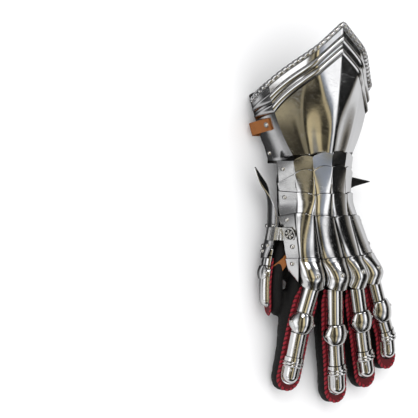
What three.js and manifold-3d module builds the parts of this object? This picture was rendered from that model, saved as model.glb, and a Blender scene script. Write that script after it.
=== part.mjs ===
// Armoured gauntlet for a left hand, lying palm down: pointed gable cuff, three wrist lames,
// fluted hand plate, knuckle plate, articulated finger and thumb plates over a leather glove.
// Millimetres. +Y runs from the fingertips to the cuff, +X from thumb side to little finger side, +Z up.
import * as THREE from "three";
import { mergeVertices } from "three/addons/utils/BufferGeometryUtils.js";
import Module from "manifold-3d";

// ---------- driving dimensions ----------
const STEEL = 1.1; // plate thickness
const LEATHER = 2.0; // glove wall
const STRIP = 1.2; // finger strip thickness
const STRAP = 1.8; // strap thickness
const LAP = 5; // how far a plate tucks under the next one
const STEP_OUT = 2.8; // how far a plate's upper edge stands off the hand shell
const STEP_DROP = 2.0; // how much of that is lost before the next plate starts
const CUFF_WRIST_Y = 55,
  CUFF_END_Y = 50,
  CUFF_APEX_Y = 190,
  CUFF_EDGE_Z = 15;
const UNDER_Z = 0,
  UNDER_WRIST_Z = 8;
const RIM_R = 2.1,
  BEAD_H = 1.5,
  BEAD_W = 3.2;
const BEADS = [14, 23]; // distances of the raised beads from the rim
const GLOVE_TOP = 2.7; // plate centre down to the top of the glove finger
const GLOVE_HALF_H = [11.6, 9.5]; // half height of a glove finger at its root and at its end
const PLATE_R = 9.2,
  CUP_R = 12.4,
  BAND_R = 10.7,
  TIP_R = 9.3;

// hand shell sections: seven fold points from thumb edge to outer edge, and the height of the four lobes
const SECTIONS = [
  { y: 55, p: [[-41, 36], [-33, 54], [-18.7, 65], [0, 70], [18.7, 65], [33, 54], [41, 36]], lobe: [0, 0, 0, 0] },
  { y: 15, p: [[-38, 34], [-28, 52], [-14, 63], [2, 66], [22, 60], [37, 48], [46, 30]], lobe: [1.2, 1.2, 1.2, 1] },
  { y: -3, p: [[-36, 33], [-25, 53], [-12, 62], [5, 64], [24, 58], [40, 46], [50, 28]], lobe: [2.4, 2.4, 2.4, 2.2] },
  { y: -45, p: [[-26, 32], [-18, 44], [7, 46], [36, 45], [60, 39], [80, 27], [86, 17]], lobe: [5, 6.5, 6, 5] },
  { y: -78, p: [[-20, 28], [-17.5, 38], [7.7, 43], [33.4, 44], [59.5, 40], [84.5, 30], [87, 20]], lobe: [12, 12, 11, 11] },
];
const TOPS = {
  wrist_lame_1: [52, 52, 56, 58.5, 58.5, 56, 53],
  wrist_lame_2: [30, 39, 42, 45.5, 45, 41, 34],
  wrist_lame_3: [22, 20.5, 17.5, 19, 19, 20, 21],
  hand_plate: [-3, 0, -3, -4.5, -3, -3, 0],
  knuckle_plate: [-45, -45, -46.5, -45, -43, -39.5, -36],
};
const KNUCKLE_END = [-57, -69, -70.5, -70.5, -68, -63, -53];
const KNUCKLE_ARCS = [0, 7, 7, 6.5, 5.5, 0];

// finger plate centres: root, middle joint, end joint, plate end, leather end; tilt in degrees about the finger
const FINGERS = {
  index: { at: [[-4.5, -71, 41], [-13.8, -108.5, 36], [-18, -147.5, 27.5], [-20.3, -170.5, 22.6], [-21, -178, 21.9]], tilt: -6 },
  middle: { at: [[19.6, -71, 44], [24.8, -119.5, 37], [33.3, -155.5, 27.5], [38, -182.5, 22.4], [39.3, -191, 21.9]], tilt: 0 },
  ring: { at: [[46.5, -70, 41], [56, -106.5, 35.5], [67, -141.5, 26.5], [74, -166.5, 22.2], [76.3, -176, 21.9]], tilt: 4 },
  little: { at: [[71.2, -65, 34.5], [83, -96.5, 31], [95, -122.5, 25], [99.5, -147.5, 22.1], [101, -158, 21.9]], tilt: 8 },
};
// thumb glove centre line and the way its back faces
const THUMB = {
  at: [[-15, 4, 22], [-23.5, -16, 21.5], [-30.5, -42, 21], [-34, -66, 20], [-33.2, -93, 18.5], [-32, -102, 17.5]],
  back: [[-0.9, 0, -0.26], [-0.95, 0, -0.26], [-0.966, 0, -0.26], [-0.966, 0, -0.26], [-0.966, 0, -0.26], [-0.966, 0, -0.26]],
  halfWidth: 9.6,
  halfHeight: 7.4,
  plate: 9.3, // glove centre out to the plate centre
  rise: 6.6, // height of the plates above their own edges
  half: 8.6, // half width of the plates
};

const FINISH = {
  polished_steel: { color: 0xc9cdd2, metalness: 1, roughness: 0.12 },
  black_leather: { color: 0x17161a, metalness: 0, roughness: 0.6 },
  red_leather: { color: 0x8f1426, metalness: 0, roughness: 0.5 },
  tan_leather: { color: 0x9a5a26, metalness: 0, roughness: 0.55 },
};

// ---------- small maths ----------
const V = (x, y, z) => new THREE.Vector3(x, y, z);
const lerp = (a, b, t) => a + (b - a) * t;
const clamp = (x, a, b) => Math.min(b, Math.max(a, x));
const smooth = (t) => t * t * (3 - 2 * t);
const steps = (a, b, n) => Array.from({ length: n + 1 }, (_, i) => lerp(a, b, i / n));

// value of a list of numbers at a fractional index
function along(list, s) {
  const i = clamp(Math.floor(s), 0, list.length - 2);
  return lerp(list[i], list[i + 1], s - i);
}

// smooth interpolation of rows of numbers keyed by falling y
function atHeight(keys, rows, y) {
  const n = keys.length;
  if (y >= keys[0]) return rows[0];
  if (y <= keys[n - 1]) return rows[n - 1];
  let i = 0;
  while (y < keys[i + 1]) i++;
  const h = keys[i + 1] - keys[i],
    t = (y - keys[i]) / h;
  const slope = (k, j) => {
    if (k === 0 || k === n - 1) return 0;
    return (rows[k + 1][j] - rows[k - 1][j]) / (keys[k + 1] - keys[k - 1]);
  };
  return rows[i].map((_, j) => {
    const m0 = slope(i, j) * h,
      m1 = slope(i + 1, j) * h,
      t2 = t * t,
      t3 = t2 * t;
    return (
      (2 * t3 - 3 * t2 + 1) * rows[i][j] + (t3 - 2 * t2 + t) * m0 + (3 * t2 - 2 * t3) * rows[i + 1][j] + (t3 - t2) * m1
    );
  });
}

// ---------- meshes ----------
function geometryOf(points, faces) {
  const position = new Float32Array(points.length * 3);
  points.forEach((p, i) => position.set([p.x, p.y, p.z], i * 3));
  let volume = 0;
  for (const [a, b, c] of faces) volume += points[a].dot(points[b].clone().cross(points[c]));
  const index = faces.flatMap(([a, b, c]) => (volume < 0 ? [a, c, b] : [a, b, c]));
  const g = new THREE.BufferGeometry();
  g.setAttribute("position", new THREE.BufferAttribute(position, 3));
  g.setIndex(index);
  g.computeVertexNormals();
  return g;
}

// outward normals of a grid of points; flip turns them round
function gridNormals(grid, flip, wrap) {
  const R = grid.length,
    C = grid[0].length;
  return grid.map((row, r) =>
    row.map((p, c) => {
      const e = (a, b) => {
        const v = b.clone().sub(a);
        return v.lengthSq() > 1e-12 ? v.normalize() : v;
      };
      const left = wrap ? row[(c + C - 1) % C] : row[Math.max(c - 1, 0)],
        right = wrap ? row[(c + 1) % C] : row[Math.min(c + 1, C - 1)];
      const du = e(left, p).add(e(p, right));
      const dv = e(grid[Math.max(r - 1, 0)][c], p).add(e(p, grid[Math.min(r + 1, R - 1)][c]));
      return du.cross(dv).normalize().multiplyScalar(flip ? -1 : 1);
    }),
  );
}

// a sheet of the given thickness below a grid of outer points
function sheet(grid, thickness, flip = false) {
  const R = grid.length,
    C = grid[0].length;
  const normals = gridNormals(grid, flip, false);
  const t = typeof thickness === "function" ? thickness : () => thickness;
  const points = [];
  for (let r = 0; r < R; r++) for (let c = 0; c < C; c++) points.push(grid[r][c].clone());
  for (let r = 0; r < R; r++)
    for (let c = 0; c < C; c++) points.push(grid[r][c].clone().addScaledVector(normals[r][c], -t(r, c)));
  const faces = [],
    n = R * C,
    o = (r, c) => r * C + c,
    i = (r, c) => n + r * C + c;
  const quad = (a, b, c, d) => faces.push([a, b, c], [a, c, d]);
  for (let r = 0; r < R - 1; r++)
    for (let c = 0; c < C - 1; c++) {
      quad(o(r, c), o(r, c + 1), o(r + 1, c + 1), o(r + 1, c));
      quad(i(r, c), i(r + 1, c), i(r + 1, c + 1), i(r, c + 1));
    }
  for (let c = 0; c < C - 1; c++) {
    quad(o(0, c), i(0, c), i(0, c + 1), o(0, c + 1));
    quad(o(R - 1, c), o(R - 1, c + 1), i(R - 1, c + 1), i(R - 1, c));
  }
  for (let r = 0; r < R - 1; r++) {
    quad(o(r, 0), o(r + 1, 0), i(r + 1, 0), i(r, 0));
    quad(o(r, C - 1), i(r, C - 1), i(r + 1, C - 1), o(r + 1, C - 1));
  }
  return geometryOf(points, faces);
}

// a tube between outer and inner rings; capped closes the far end, solid drops the inside
function tube(outer, inner, capped, solid = false) {
  const C = outer[0].length,
    points = [],
    faces = [];
  const add = (ring) => {
    const at = points.length;
    points.push(...ring.map((p) => p.clone()));
    return at;
  };
  const quad = (a, b, c, d) => faces.push([a, b, c], [a, c, d]);
  const join = (a, b, rev) => {
    for (let c = 0; c < C; c++) {
      const d = (c + 1) % C;
      if (rev) quad(a + c, b + c, b + d, a + d);
      else quad(a + c, a + d, b + d, b + c);
    }
  };
  const centre = (ring) => ring.reduce((s, p) => s.add(p), V(0, 0, 0)).divideScalar(ring.length);
  const fan = (a, ring, rev) => {
    const m = add([centre(ring)]);
    for (let c = 0; c < C; c++) {
      const d = (c + 1) % C;
      faces.push(rev ? [m, a + d, a + c] : [m, a + c, a + d]);
    }
  };
  const o = outer.map(add);
  for (let r = 0; r < o.length - 1; r++) join(o[r], o[r + 1], false);
  if (solid) {
    fan(o[0], outer[0], true);
    fan(o.at(-1), outer.at(-1), false);
    return geometryOf(points, faces);
  }
  const i = inner.map(add);
  for (let r = 0; r < i.length - 1; r++) join(i[r], i[r + 1], true);
  join(o[0], i[0], true);
  if (capped) {
    fan(o.at(-1), outer.at(-1), false);
    fan(i.at(-1), inner.at(-1), true);
  } else join(o.at(-1), i.at(-1), false);
  return geometryOf(points, faces);
}

const wasm = await Module();
wasm.setup();
function solidOf(g) {
  const m = mergeVertices(new THREE.BufferGeometry().setAttribute("position", g.toNonIndexed().getAttribute("position")), 1e-4);
  return new wasm.Manifold(
    new wasm.Mesh({ numProp: 3, vertProperties: m.attributes.position.array, triVerts: new Uint32Array(m.index.array) }),
  );
}
function geometryFrom(s) {
  const m = s.getMesh(),
    n = m.numProp,
    v = new Float32Array(m.numVert * 3);
  for (let i = 0; i < m.numVert; i++) v.set(m.vertProperties.subarray(i * n, i * n + 3), i * 3);
  const g = new THREE.BufferGeometry();
  g.setAttribute("position", new THREE.BufferAttribute(v, 3));
  g.setIndex(new THREE.BufferAttribute(new Uint32Array(m.triVerts), 1));
  g.computeVertexNormals();
  return g;
}
function largest(s) {
  return s.decompose().sort((a, b) => b.volume() - a.volume())[0];
}

const gauntlet = new THREE.Group();
gauntlet.name = "armoured_gauntlet";
function place(name, geometry, finish) {
  const f = FINISH[finish];
  const mesh = new THREE.Mesh(geometry, new THREE.MeshStandardMaterial({ name: finish, ...f, side: THREE.DoubleSide }));
  mesh.name = name;
  gauntlet.add(mesh);
  return mesh;
}

// ---------- hand shell ----------
const KEYS = SECTIONS.map((s) => s.y);
const FLAT = SECTIONS.map((s) => [...s.p.flat(), ...s.lobe]);
// point of the shell at fold position 0..6 and height y, with the lobes between folds 1 and 5
function shellXZ(s, y) {
  const row = atHeight(KEYS, FLAT, y);
  const i = clamp(Math.floor(s), 0, 5),
    t = s - i;
  const a = [row[2 * i], row[2 * i + 1]],
    b = [row[2 * i + 2], row[2 * i + 3]];
  let x = lerp(a[0], b[0], t),
    z = lerp(a[1], b[1], t);
  if (i >= 1 && i <= 4) {
    const h = row[14 + i - 1] * Math.sqrt(Math.max(0, 1 - (2 * t - 1) ** 2));
    const dx = b[0] - a[0],
      dz = b[1] - a[1],
      l = Math.hypot(dx, dz);
    x += (-dz / l) * h;
    z += (dx / l) * h;
  }
  return [x, z];
}
function shellOut(s, y) {
  const w = 0.4;
  const [x0, z0] = shellXZ(clamp(s - w, 0, 6), y),
    [x1, z1] = shellXZ(clamp(s + w, 0, 6), y);
  const l = Math.hypot(x1 - x0, z1 - z0);
  return [-(z1 - z0) / l, (x1 - x0) / l];
}
function shellPoint(s, y, out = 0) {
  const [x, z] = shellXZ(s, y),
    [nx, nz] = shellOut(s, y);
  return V(x + nx * out, y, z + nz * out);
}

// point and outward normal of a shell plate at fold position s and height y
function platePoint(name, s, y) {
  const order = Object.keys(TOPS),
    next = TOPS[order[order.indexOf(name) + 1]];
  const out = (k, h) => {
    const top = along(TOPS[name], k),
      len = next ? top - along(next, k) : 26;
    return STEP_OUT - (STEP_DROP * (top - h)) / len;
  };
  const p = (k, h) => shellPoint(k, h, out(k, h));
  const a = p(s, y);
  const normal = p(s + 0.12, y).sub(p(s - 0.12, y)).cross(p(s, y - 1.5).sub(p(s, y + 1.5)));
  return { at: a, normal: normal.normalize().negate() };
}

function foldColumns(perLobe, perPanel) {
  const out = [];
  for (let i = 0; i < 6; i++) {
    const n = i === 0 || i === 5 ? perPanel : perLobe;
    for (let k = 0; k < n; k++) out.push(i + k / n);
  }
  out.push(6);
  return out;
}
function shellPlate(name, nextTops, { scallop = 0, perLobe = 4, perPanel = 2, rows = 4, end = null, arcs = null }) {
  const cols = foldColumns(perLobe, perPanel);
  const bump = (s, k) => (s >= 1 && s <= 5 ? k * Math.sin(Math.PI * (s % 1)) : 0);
  const grid = steps(0, 1, rows).map((v) =>
    cols.map((s) => {
      const top = along(TOPS[name], s) + bump(s, scallop);
      let len, bottom;
      if (end) {
        bottom = along(end, s) - (arcs ? arcs[clamp(Math.floor(s), 0, 5)] * Math.sqrt(Math.max(0, 1 - (2 * (s % 1) - 1) ** 2)) : 0);
        if (s === 6) bottom = end[6];
        len = Math.max(26, top - bottom);
      } else {
        const next = along(nextTops, s);
        len = top - next;
        bottom = next - LAP;
      }
      const y = lerp(top, bottom, v);
      const out = STEP_OUT - (STEP_DROP * (top - y)) / len;
      return shellPoint(s, y, end ? Math.max(out, 0.8) : out);
    }),
  );
  return sheet(grid, STEEL, true);
}
place("wrist_lame_1", shellPlate("wrist_lame_1", TOPS.wrist_lame_2, { scallop: 3, perLobe: 4, rows: 3 }), "polished_steel");
place("wrist_lame_2", shellPlate("wrist_lame_2", TOPS.wrist_lame_3, { scallop: 3, perLobe: 4, rows: 3 }), "polished_steel");
place("wrist_lame_3", shellPlate("wrist_lame_3", TOPS.hand_plate, { scallop: 1.5, perLobe: 6, rows: 3 }), "polished_steel");
place("hand_plate", shellPlate("hand_plate", TOPS.knuckle_plate, { scallop: 1.5, perLobe: 6, rows: 5 }), "polished_steel");
place("knuckle_plate", shellPlate("knuckle_plate", null, { scallop: 1.5, perLobe: 8, rows: 6, end: KNUCKLE_END, arcs: KNUCKLE_ARCS }), "polished_steel");

// ---------- cuff ----------
const past = (y) => Math.max(0, y - CUFF_WRIST_Y);
const ridgeZ = (y) => 70 + 0.28 * past(y) - 0.0009 * past(y) ** 2;
const creaseX = (y) => 33 + 0.62 * past(y) - 0.0036 * past(y) ** 2;
const creaseZ = (y) => 54 - 0.08 * past(y);
const edgeX = (y) => 40 + 0.33 * past(y);
const wallX = (y, z) => lerp(creaseX(y), edgeX(y), (creaseZ(y) - z) / (creaseZ(y) - CUFF_EDGE_Z));
// u runs -1 .. 1 across the cuff with the creases at +-0.5
function cuffXZ(u, y) {
  const a = Math.abs(u) * 2,
    side = Math.sign(u);
  if (a <= 1) {
    const g = a + 0.05 * Math.sin(2 * Math.PI * a);
    return [side * a * creaseX(y), lerp(ridgeZ(y), creaseZ(y), g)];
  }
  const z = lerp(creaseZ(y), CUFF_EDGE_Z, a - 1);
  return [side * (wallX(y, z) + 1.2 * Math.sin(Math.PI * (a - 1))), z];
}
const rimY = (u) => {
  const a = Math.abs(u) * 2;
  return a <= 1 ? CUFF_APEX_Y - 48 * a - 10.5 * a * a : 131.5 - 17.5 * (a - 1);
};
const rimK = (u) => {
  const a = Math.abs(u) * 2;
  return a <= 1 ? lerp(1.3, 1.5, a) : lerp(1.5, 1.15, a - 1);
};
function cuffPoint(u, y, out = 0) {
  const e = 0.02,
    [x, z] = cuffXZ(u, y),
    [x0, z0] = cuffXZ(clamp(u - e, -1, 1), y),
    [x1, z1] = cuffXZ(clamp(u + e, -1, 1), y);
  const l = Math.hypot(x1 - x0, z1 - z0);
  return V(x - ((z1 - z0) / l) * out, y, z + ((x1 - x0) / l) * out);
}
{
  const across = [-1, -0.86, -0.72, -0.6, -0.5, -0.42, -0.34, -0.25, -0.16, -0.07, 0];
  const cols = [...across, ...across.slice(0, -1).reverse().map((u) => -u)];
  const near = [0, 1.2, 2.6, 4.2];
  for (const b of BEADS) near.push(b - BEAD_W / 2 - 0.6, b - BEAD_W / 4, b + BEAD_W / 4, b + BEAD_W / 2 + 0.6);
  const lift = (w) => {
    let h = w < 4.2 ? RIM_R * 0.75 * Math.sin((Math.PI * clamp(w, 0.4, 4.2)) / 4.2) : 0;
    for (const b of BEADS) if (Math.abs(w - b) < BEAD_W / 2) h = BEAD_H;
    return h;
  };
  const rows = [];
  for (const w of near) rows.push(cols.map((u) => cuffPoint(u, rimY(u) - w * rimK(u), lift(w))));
  const last = near.at(-1);
  for (const t of steps(0, 1, 4).slice(1)) rows.push(cols.map((u) => cuffPoint(u, lerp(rimY(u) - last * rimK(u), CUFF_WRIST_Y + 1, t))));
  rows.push(cols.map((u) => cuffPoint(u, CUFF_END_Y)));
  place(
    "cuff_plate",
    sheet(rows, (r) => (near[r] < 4 ? STEEL + 1.4 * Math.sin((Math.PI * clamp(near[r], 0.6, 4)) / 4) : STEEL), true),
    "polished_steel",
  );
}
{
  // the under plate tucks inside the side walls and has a flat bottom
  const ys = [50, 58, 66, 74, 92, 108, 122];
  const rows = ys.map((y0) => {
    const row = [];
    const bottom = y0 >= 74 ? UNDER_Z : lerp(UNDER_WRIST_Z, UNDER_Z, smooth((y0 - 50) / 24));
    for (const u of [-1, -0.9, -0.8, -0.7, -0.6, -0.3, 0, 0.3, 0.6, 0.7, 0.8, 0.9, 1]) {
      const a = Math.abs(u),
        side = Math.sign(u) || 1;
      const y = y0 === 122 ? 122 - 9 * clamp((a - 0.55) / 0.45, 0, 1) : y0 === 108 ? 108 - 4 * clamp((a - 0.55) / 0.45, 0, 1) : y0;
      const wide = wallX(y, 24) - 2.7,
        low = Math.min(wallX(y, CUFF_EDGE_Z) - 2.7, wide + 0.5);
      let x, z;
      if (a <= 0.6) {
        x = (a / 0.6) * (low - 12);
        z = bottom;
      } else {
        const t = (a - 0.6) / 0.4,
          c = 12;
        if (t <= 0.75) {
          const ang = (t / 0.75) * (Math.PI / 2);
          x = low - c + c * Math.sin(ang);
          z = bottom + c * (1 - Math.cos(ang));
        } else {
          const k = (t - 0.75) / 0.25;
          x = lerp(low, wide, k);
          z = lerp(bottom + c, 24, k);
        }
      }
      row.push(V(side * x, y, z));
    }
    return row;
  });
  place("cuff_under_plate", sheet(rows, STEEL, true), "polished_steel");
}

// ---------- glove hand ----------
// closed section of the glove at height y, grown outwards by grow
function gloveRing(y, grow) {
  const inset = 4.6 + 4.2 * smooth(clamp((y - 30) / 20, 0, 1)) - grow;
  const floor = lerp(12, 9, clamp((40 - y) / 90, 0, 1)) - grow;
  const flare = 1 + 0.003 * Math.max(0, y - 60);
  const top = steps(0, 6, 12).map((s) => {
    const row = atHeight(KEYS, FLAT, y),
      i = clamp(Math.floor(s), 0, 5),
      t = s - i;
    const x = lerp(row[2 * i], row[2 * i + 2], t),
      z = lerp(row[2 * i + 1], row[2 * i + 3], t);
    const [nx, nz] = shellOut(s, Math.min(y, 55));
    const side = 3.2 * smooth(clamp((-14 - y) / 20, 0, 1)) * clamp(1 - s, 0, 1);
    return [x - nx * inset + side, z - nz * inset];
  });
  const a = top[0],
    b = top.at(-1),
    low = [];
  const cx = (a[0] + b[0]) / 2,
    half = (b[0] - a[0]) / 2;
  for (let k = 1; k < 12; k++) {
    const th = (Math.PI * k) / 12,
      c = Math.cos(th),
      sn = Math.sin(th);
    const base = lerp(a[1], b[1], (1 + c) / 2);
    low.push([cx + half * Math.sign(c) * Math.abs(c) ** 0.62, base - (base - floor) * sn ** 0.62]);
  }
  return [...top, ...low].map(([x, z]) => V(cx + (x - cx) * flare, y, z));
}
const HAND_YS = [96, 80, 64, 52, 40, 28, 14, 0, -14, -28, -42, -56, -64, -70];
const handOuter = HAND_YS.map((y) => gloveRing(y, 0)),
  handInner = HAND_YS.map((y) => gloveRing(y, -LEATHER));

// the filled glove hand with a little room around it, which the fingers are cut back from
const BLOCK_YS = [...HAND_YS.slice(0, -1), HAND_YS.at(-1) - 0.35];
const handBlock = solidOf(tube(BLOCK_YS.map((y) => gloveRing(y, 0.35)), null, false, true));

const handSide = wasm.Manifold.cube([400, 400, 200], false).translate([-150, HAND_YS.at(-1) - 0.35, -50]);

// ---------- centre lines ----------
// a smooth line through points, looked up by y
function lineOf(points) {
  const curve = new THREE.CatmullRomCurve3(points.map((p) => V(...p)), false, "centripetal");
  const n = 240,
    samples = [];
  for (let i = 0; i <= n; i++) samples.push(curve.getPoint(i / n));
  const at = (y) => {
    let i = 0;
    while (i < n - 1 && samples[i + 1].y > y) i++;
    const a = samples[i],
      b = samples[i + 1],
      t = clamp((a.y - y) / (a.y - b.y), -20, 20);
    return a.clone().lerp(b, t);
  };
  const dir = (y) => at(y - 2).sub(at(y + 2)).normalize();
  return { at, dir };
}
function frameAt(line, y, up) {
  const t = line.dir(y),
    n = up.clone().addScaledVector(t, -up.dot(t)).normalize(),
    b = n.clone().cross(t).normalize();
  return { c: line.at(y), t, n, b };
}
const at = (f, b, n, t = 0) => f.c.clone().addScaledVector(f.b, b).addScaledVector(f.n, n).addScaledVector(f.t, t);

// half-tube plate from y0 down to y1; radius(v), and sag(v, a) shifts points along the finger
function halfTube(frame, y0, y1, radius, { cols = 8, rows = 3, push = null, spread = 90, low = 0 } = {}) {
  const grid = steps(0, 1, rows).map((v) =>
    steps(-spread, spread, cols).map((deg) => {
      const ang = (deg * Math.PI) / 180,
        f = frame(lerp(y0, y1, v)),
        r = radius(v, ang);
      return at(f, r * Math.sin(ang), r * Math.cos(ang) - low, push ? push(v, ang) : 0);
    }),
  );
  return sheet(grid, 1.0, true);
}
function gloveTube(line, up, y0, y1, halfW, halfH, drop, { rings = 9, sides = 16, grow = 0, wall = LEATHER, round = 13 } = {}) {
  const ring = (y, w, h, dropAt) => {
    const f = frameAt(line, y, up(y));
    return Array.from({ length: sides }, (_, k) => {
      const th = (2 * Math.PI * k) / sides,
        c = Math.cos(th),
        s = Math.sin(th),
        e = 0.84;
      return at(f, w * Math.sign(c) * Math.abs(c) ** e, (dropAt === null ? 0 : -dropAt - halfH(y)) + h * Math.sign(s) * Math.abs(s) ** e);
    });
  };
  const ys = [...steps(y0, y1 + round, rings - 1), ...[0.3, 0.55, 0.75, 0.9, 0.98].map((k) => y1 + round - round * k)];
  const shape = (y, less) => {
    const q = clamp((y1 + round - y) / round, 0, 0.999),
      k = Math.sqrt(1 - q * q) * 0.92 + 0.08 * (1 - q);
    return [Math.max(0.6, (halfW(y) - less) * k), Math.max(0.6, (halfH(y) - less) * k)];
  };
  const outer = ys.map((y) => ring(y, ...shape(y, -grow), drop));
  const inYs = ys.map((y) => (y > y1 + round ? y : Math.max(y, y1 + wall + 0.4)));
  const inner = ys.map((y, i) => {
    const yi = i < rings ? y : lerp(y1 + round, y1 + wall, (y1 + round - y) / round);
    return ring(yi, ...shape(y, wall), drop);
  });
  return { outer, inner };
}

// ---------- fingers ----------
for (const [name, spec] of Object.entries(FINGERS)) {
  const line = lineOf(spec.at);
  const [root, pip, dip, end, tip] = spec.at.map((p) => p[1]);
  const tilt = (spec.tilt * Math.PI) / 180;
  const up = V(Math.sin(tilt), 0, Math.cos(tilt));
  const frame = (y) => frameAt(line, y, up);
  const plain = V(Math.sin(tilt / 2), 0, Math.cos(tilt / 2));
  const big = name === "little" ? 0.92 : 1;
  const R = PLATE_R * big;
  const plate = (part, geometry) => place(name + "_" + part, geometry, "polished_steel");
  plate("proximal_plate", halfTube(frame, root - 3, pip + 4, () => R, { rows: 3 }));
  plate(
    "knuckle_cup",
    halfTube(frame, pip + 9.5, pip - 9.5, (v) => (BAND_R + (CUP_R - BAND_R) * Math.sin(Math.PI * v)) * big, {
      rows: 6,
      cols: 10,
      push: (v, a) => (Math.abs(a) > 1 ? (0.5 - v) * 9 * (Math.abs(a) - 1) : 0),
    }),
  );
  plate("middle_plate", halfTube(frame, pip - 4, dip + 1.5, () => R - 0.1, { rows: 3 }));
  plate("joint_band", halfTube(frame, dip + 5, dip - 5, (v) => (BAND_R - 0.2 + 0.5 * Math.sin(Math.PI * v)) * big, { rows: 4 }));
  plate(
    "tip_plate",
    halfTube(
      frame,
      dip - 2,
      end,
      (v) => {
        const q = clamp((v - 0.55) / 0.45, 0, 1);
        return R * Math.sqrt(Math.max(0.16, 1 - 0.84 * q * q)) + 0.2 * Math.sin(Math.PI * v);
      },
      { rows: 6 },
    ),
  );
  // leather strip under the plates
  const sy = [root - 4, root - 9, root - 16, lerp(root, pip, 0.75), pip, lerp(pip, dip, 0.33), lerp(pip, dip, 0.67), dip, end + 14, end + 8, end + 3, tip + 6, tip + 3];
  const halfAt = (y) => (y > root - 9 ? 9.3 : y > root - 16 ? 11 : name === "little" ? 11.4 : 12.2);
  const strip = sy.map((y, k) => {
    const f = frame(y),
      w = k === sy.length - 1 ? 6 : k === sy.length - 2 ? 9.6 : halfAt(y);
    return [-1, -0.5, 0, 0.5, 1].map((u) => at(f, u * w, -0.95 - 1.3 * u * u));
  });
  place(name + "_leather", sheet(strip, STRIP, true), "red_leather");
  const halfW = (y) => lerp(11.3, name === "little" ? 12.4 : 13.4, smooth(clamp((root - y) / 45, 0, 1)));
  const halfH = (y) => lerp(GLOVE_HALF_H[0], GLOVE_HALF_H[1], smooth(clamp((root - y) / (root - tip - 25), 0, 1)));
  const g = gloveTube(line, () => plain, root + 3, tip, halfW, halfH, GLOVE_TOP);
  const cut = solidOf(tube(g.outer, g.inner, true)).subtract(handSide);
  place("glove_" + name, geometryFrom(largest(cut)), "black_leather");
}

// ---------- thumb ----------
const thumbLine = lineOf(THUMB.at);
const thumbUp = (y) => {
  const keys = THUMB.at.map((p) => p[1]);
  return V(...atHeight(keys, THUMB.back, y)).normalize();
};
const thumbFrame = (y) => frameAt(thumbLine, y, thumbUp(y));
const thumbPlate = (f) => ({ ...f, c: f.c.clone().addScaledVector(f.n, THUMB.plate) });
{
  const wide = (y) => lerp(THUMB.halfWidth, THUMB.halfWidth + 0.5, smooth(clamp(-y / 90, 0, 1)));
  const high = () => THUMB.halfHeight;
  const g = gloveTube(thumbLine, thumbUp, -4, -102, wide, high, null, { rings: 10, round: 12 });
  const big = gloveTube(thumbLine, thumbUp, -4, -102, wide, high, null, { rings: 10, round: 12, grow: 0.35 });
  const hand = solidOf(tube(handOuter, handInner, false));
    const thumb = solidOf(tube(g.outer, g.inner, true));
  const thumbFull = solidOf(tube(big.outer, null, true, true));
  place("glove_hand", geometryFrom(largest(hand.subtract(thumbFull))), "black_leather");
  place("glove_thumb", geometryFrom(largest(thumb.subtract(handBlock))), "black_leather");

  const pf = (y) => thumbPlate(thumbFrame(y));
  const strip = [-46, -52, -58, -64, -70, -76, -82, -88, -93, -96.5, -99].map((y, k) => {
    const f = pf(y),
      w = [8.8, 9.6, 9.8, 9.8, 9.8, 9.8, 9.7, 9.2, 8.4, 7, 4.6][k];
    return [-1, -0.5, 0, 0.5, 1].map((u) => at(f, u * w, -0.75 - 0.8 * u * u));
  });
  place("thumb_leather", sheet(strip, 1.0, true), "red_leather");
  const oval = (v, a, k) => k / Math.hypot(Math.sin(a) / THUMB.half, Math.cos(a) / THUMB.rise);
  place("thumb_proximal_plate", halfTube(pf, -38, -59, (v, a) => oval(v, a, 1), { rows: 3 }), "polished_steel");
  place(
    "thumb_knuckle_cup",
    halfTube(pf, -54, -66, (v, a) => oval(v, a, 1) + 1.5 + 1.3 * Math.sin(Math.PI * v), { rows: 6, cols: 10, push: (v, a) => (Math.abs(a) > 1 ? (0.5 - v) * 8 * (Math.abs(a) - 1) : 0) }),
    "polished_steel",
  );
  place(
    "thumb_tip_plate",
    halfTube(
      pf,
      -62,
      -93,
      (v, a) => {
        const q = clamp((v - 0.5) / 0.5, 0, 1);
        return oval(v, a, Math.sqrt(Math.max(0.1, 1 - 0.9 * q * q)));
      },
      { rows: 7 },
    ),
    "polished_steel",
  );
}
{
  // leaf-shaped plate over the thumb root, hinged to the hand plate
  const leafSpine = lineOf([[-58.5, 46, 20], [-51.5, 32, 20], [-45, 20, 20], [-42.2, 4, 20], [-42.4, -12, 20], [-45, -26, 19.5], [-48.6, -38, 19], [-49.6, -44, 19]]);
  const ys = [46, 41, 34, 26, 14, 0, -12, -26, -36, -44],
    widths = [1.2, 3.6, 6.6, 9.6, 12, 13.5, 14, 13.8, 12.5, 10];
  const turn = (y) => smooth(clamp((y + 5) / 45, 0, 1));
  const grid = ys.map((y, k) => {
    const f = frameAt(leafSpine, y, V(lerp(-0.966, -0.72, turn(y)), 0, lerp(-0.26, -0.69, turn(y))).normalize()),
      w = widths[k];
    return steps(-1, 1, 8).map((u) => at(f, u * w, (-4 * (u * w) ** 2) / 196));
  });
  place("thumb_base_plate", sheet(grid, STEEL, true), "polished_steel");
}
{
  // hinge strap from the rosette on the hand plate, over its edge, to the thumb base plate
  const rows = [-13.5, -18, -22, -26.5].map((y) => {
    const on = (k, out) => {
      const p = platePoint("hand_plate", k, y);
      return p.at.clone().addScaledVector(p.normal, out);
    };
    const p0 = on(0.8, 1.5),
      p1 = on(0.5, 1.5),
      p2 = on(0.2, 1.7);
    const x = -42.6 + 0.2 * (y + 13.5);
    return [p0, p1, p2, V(x + 2.3, y, 37.8), V(x - 1.2, y, 36.8), V(x - 2.7, y, 32.5), V(x - 3.3, y, 27)];
  });
  place("thumb_hinge", sheet(rows, 1.0, false), "polished_steel");
}

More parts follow.
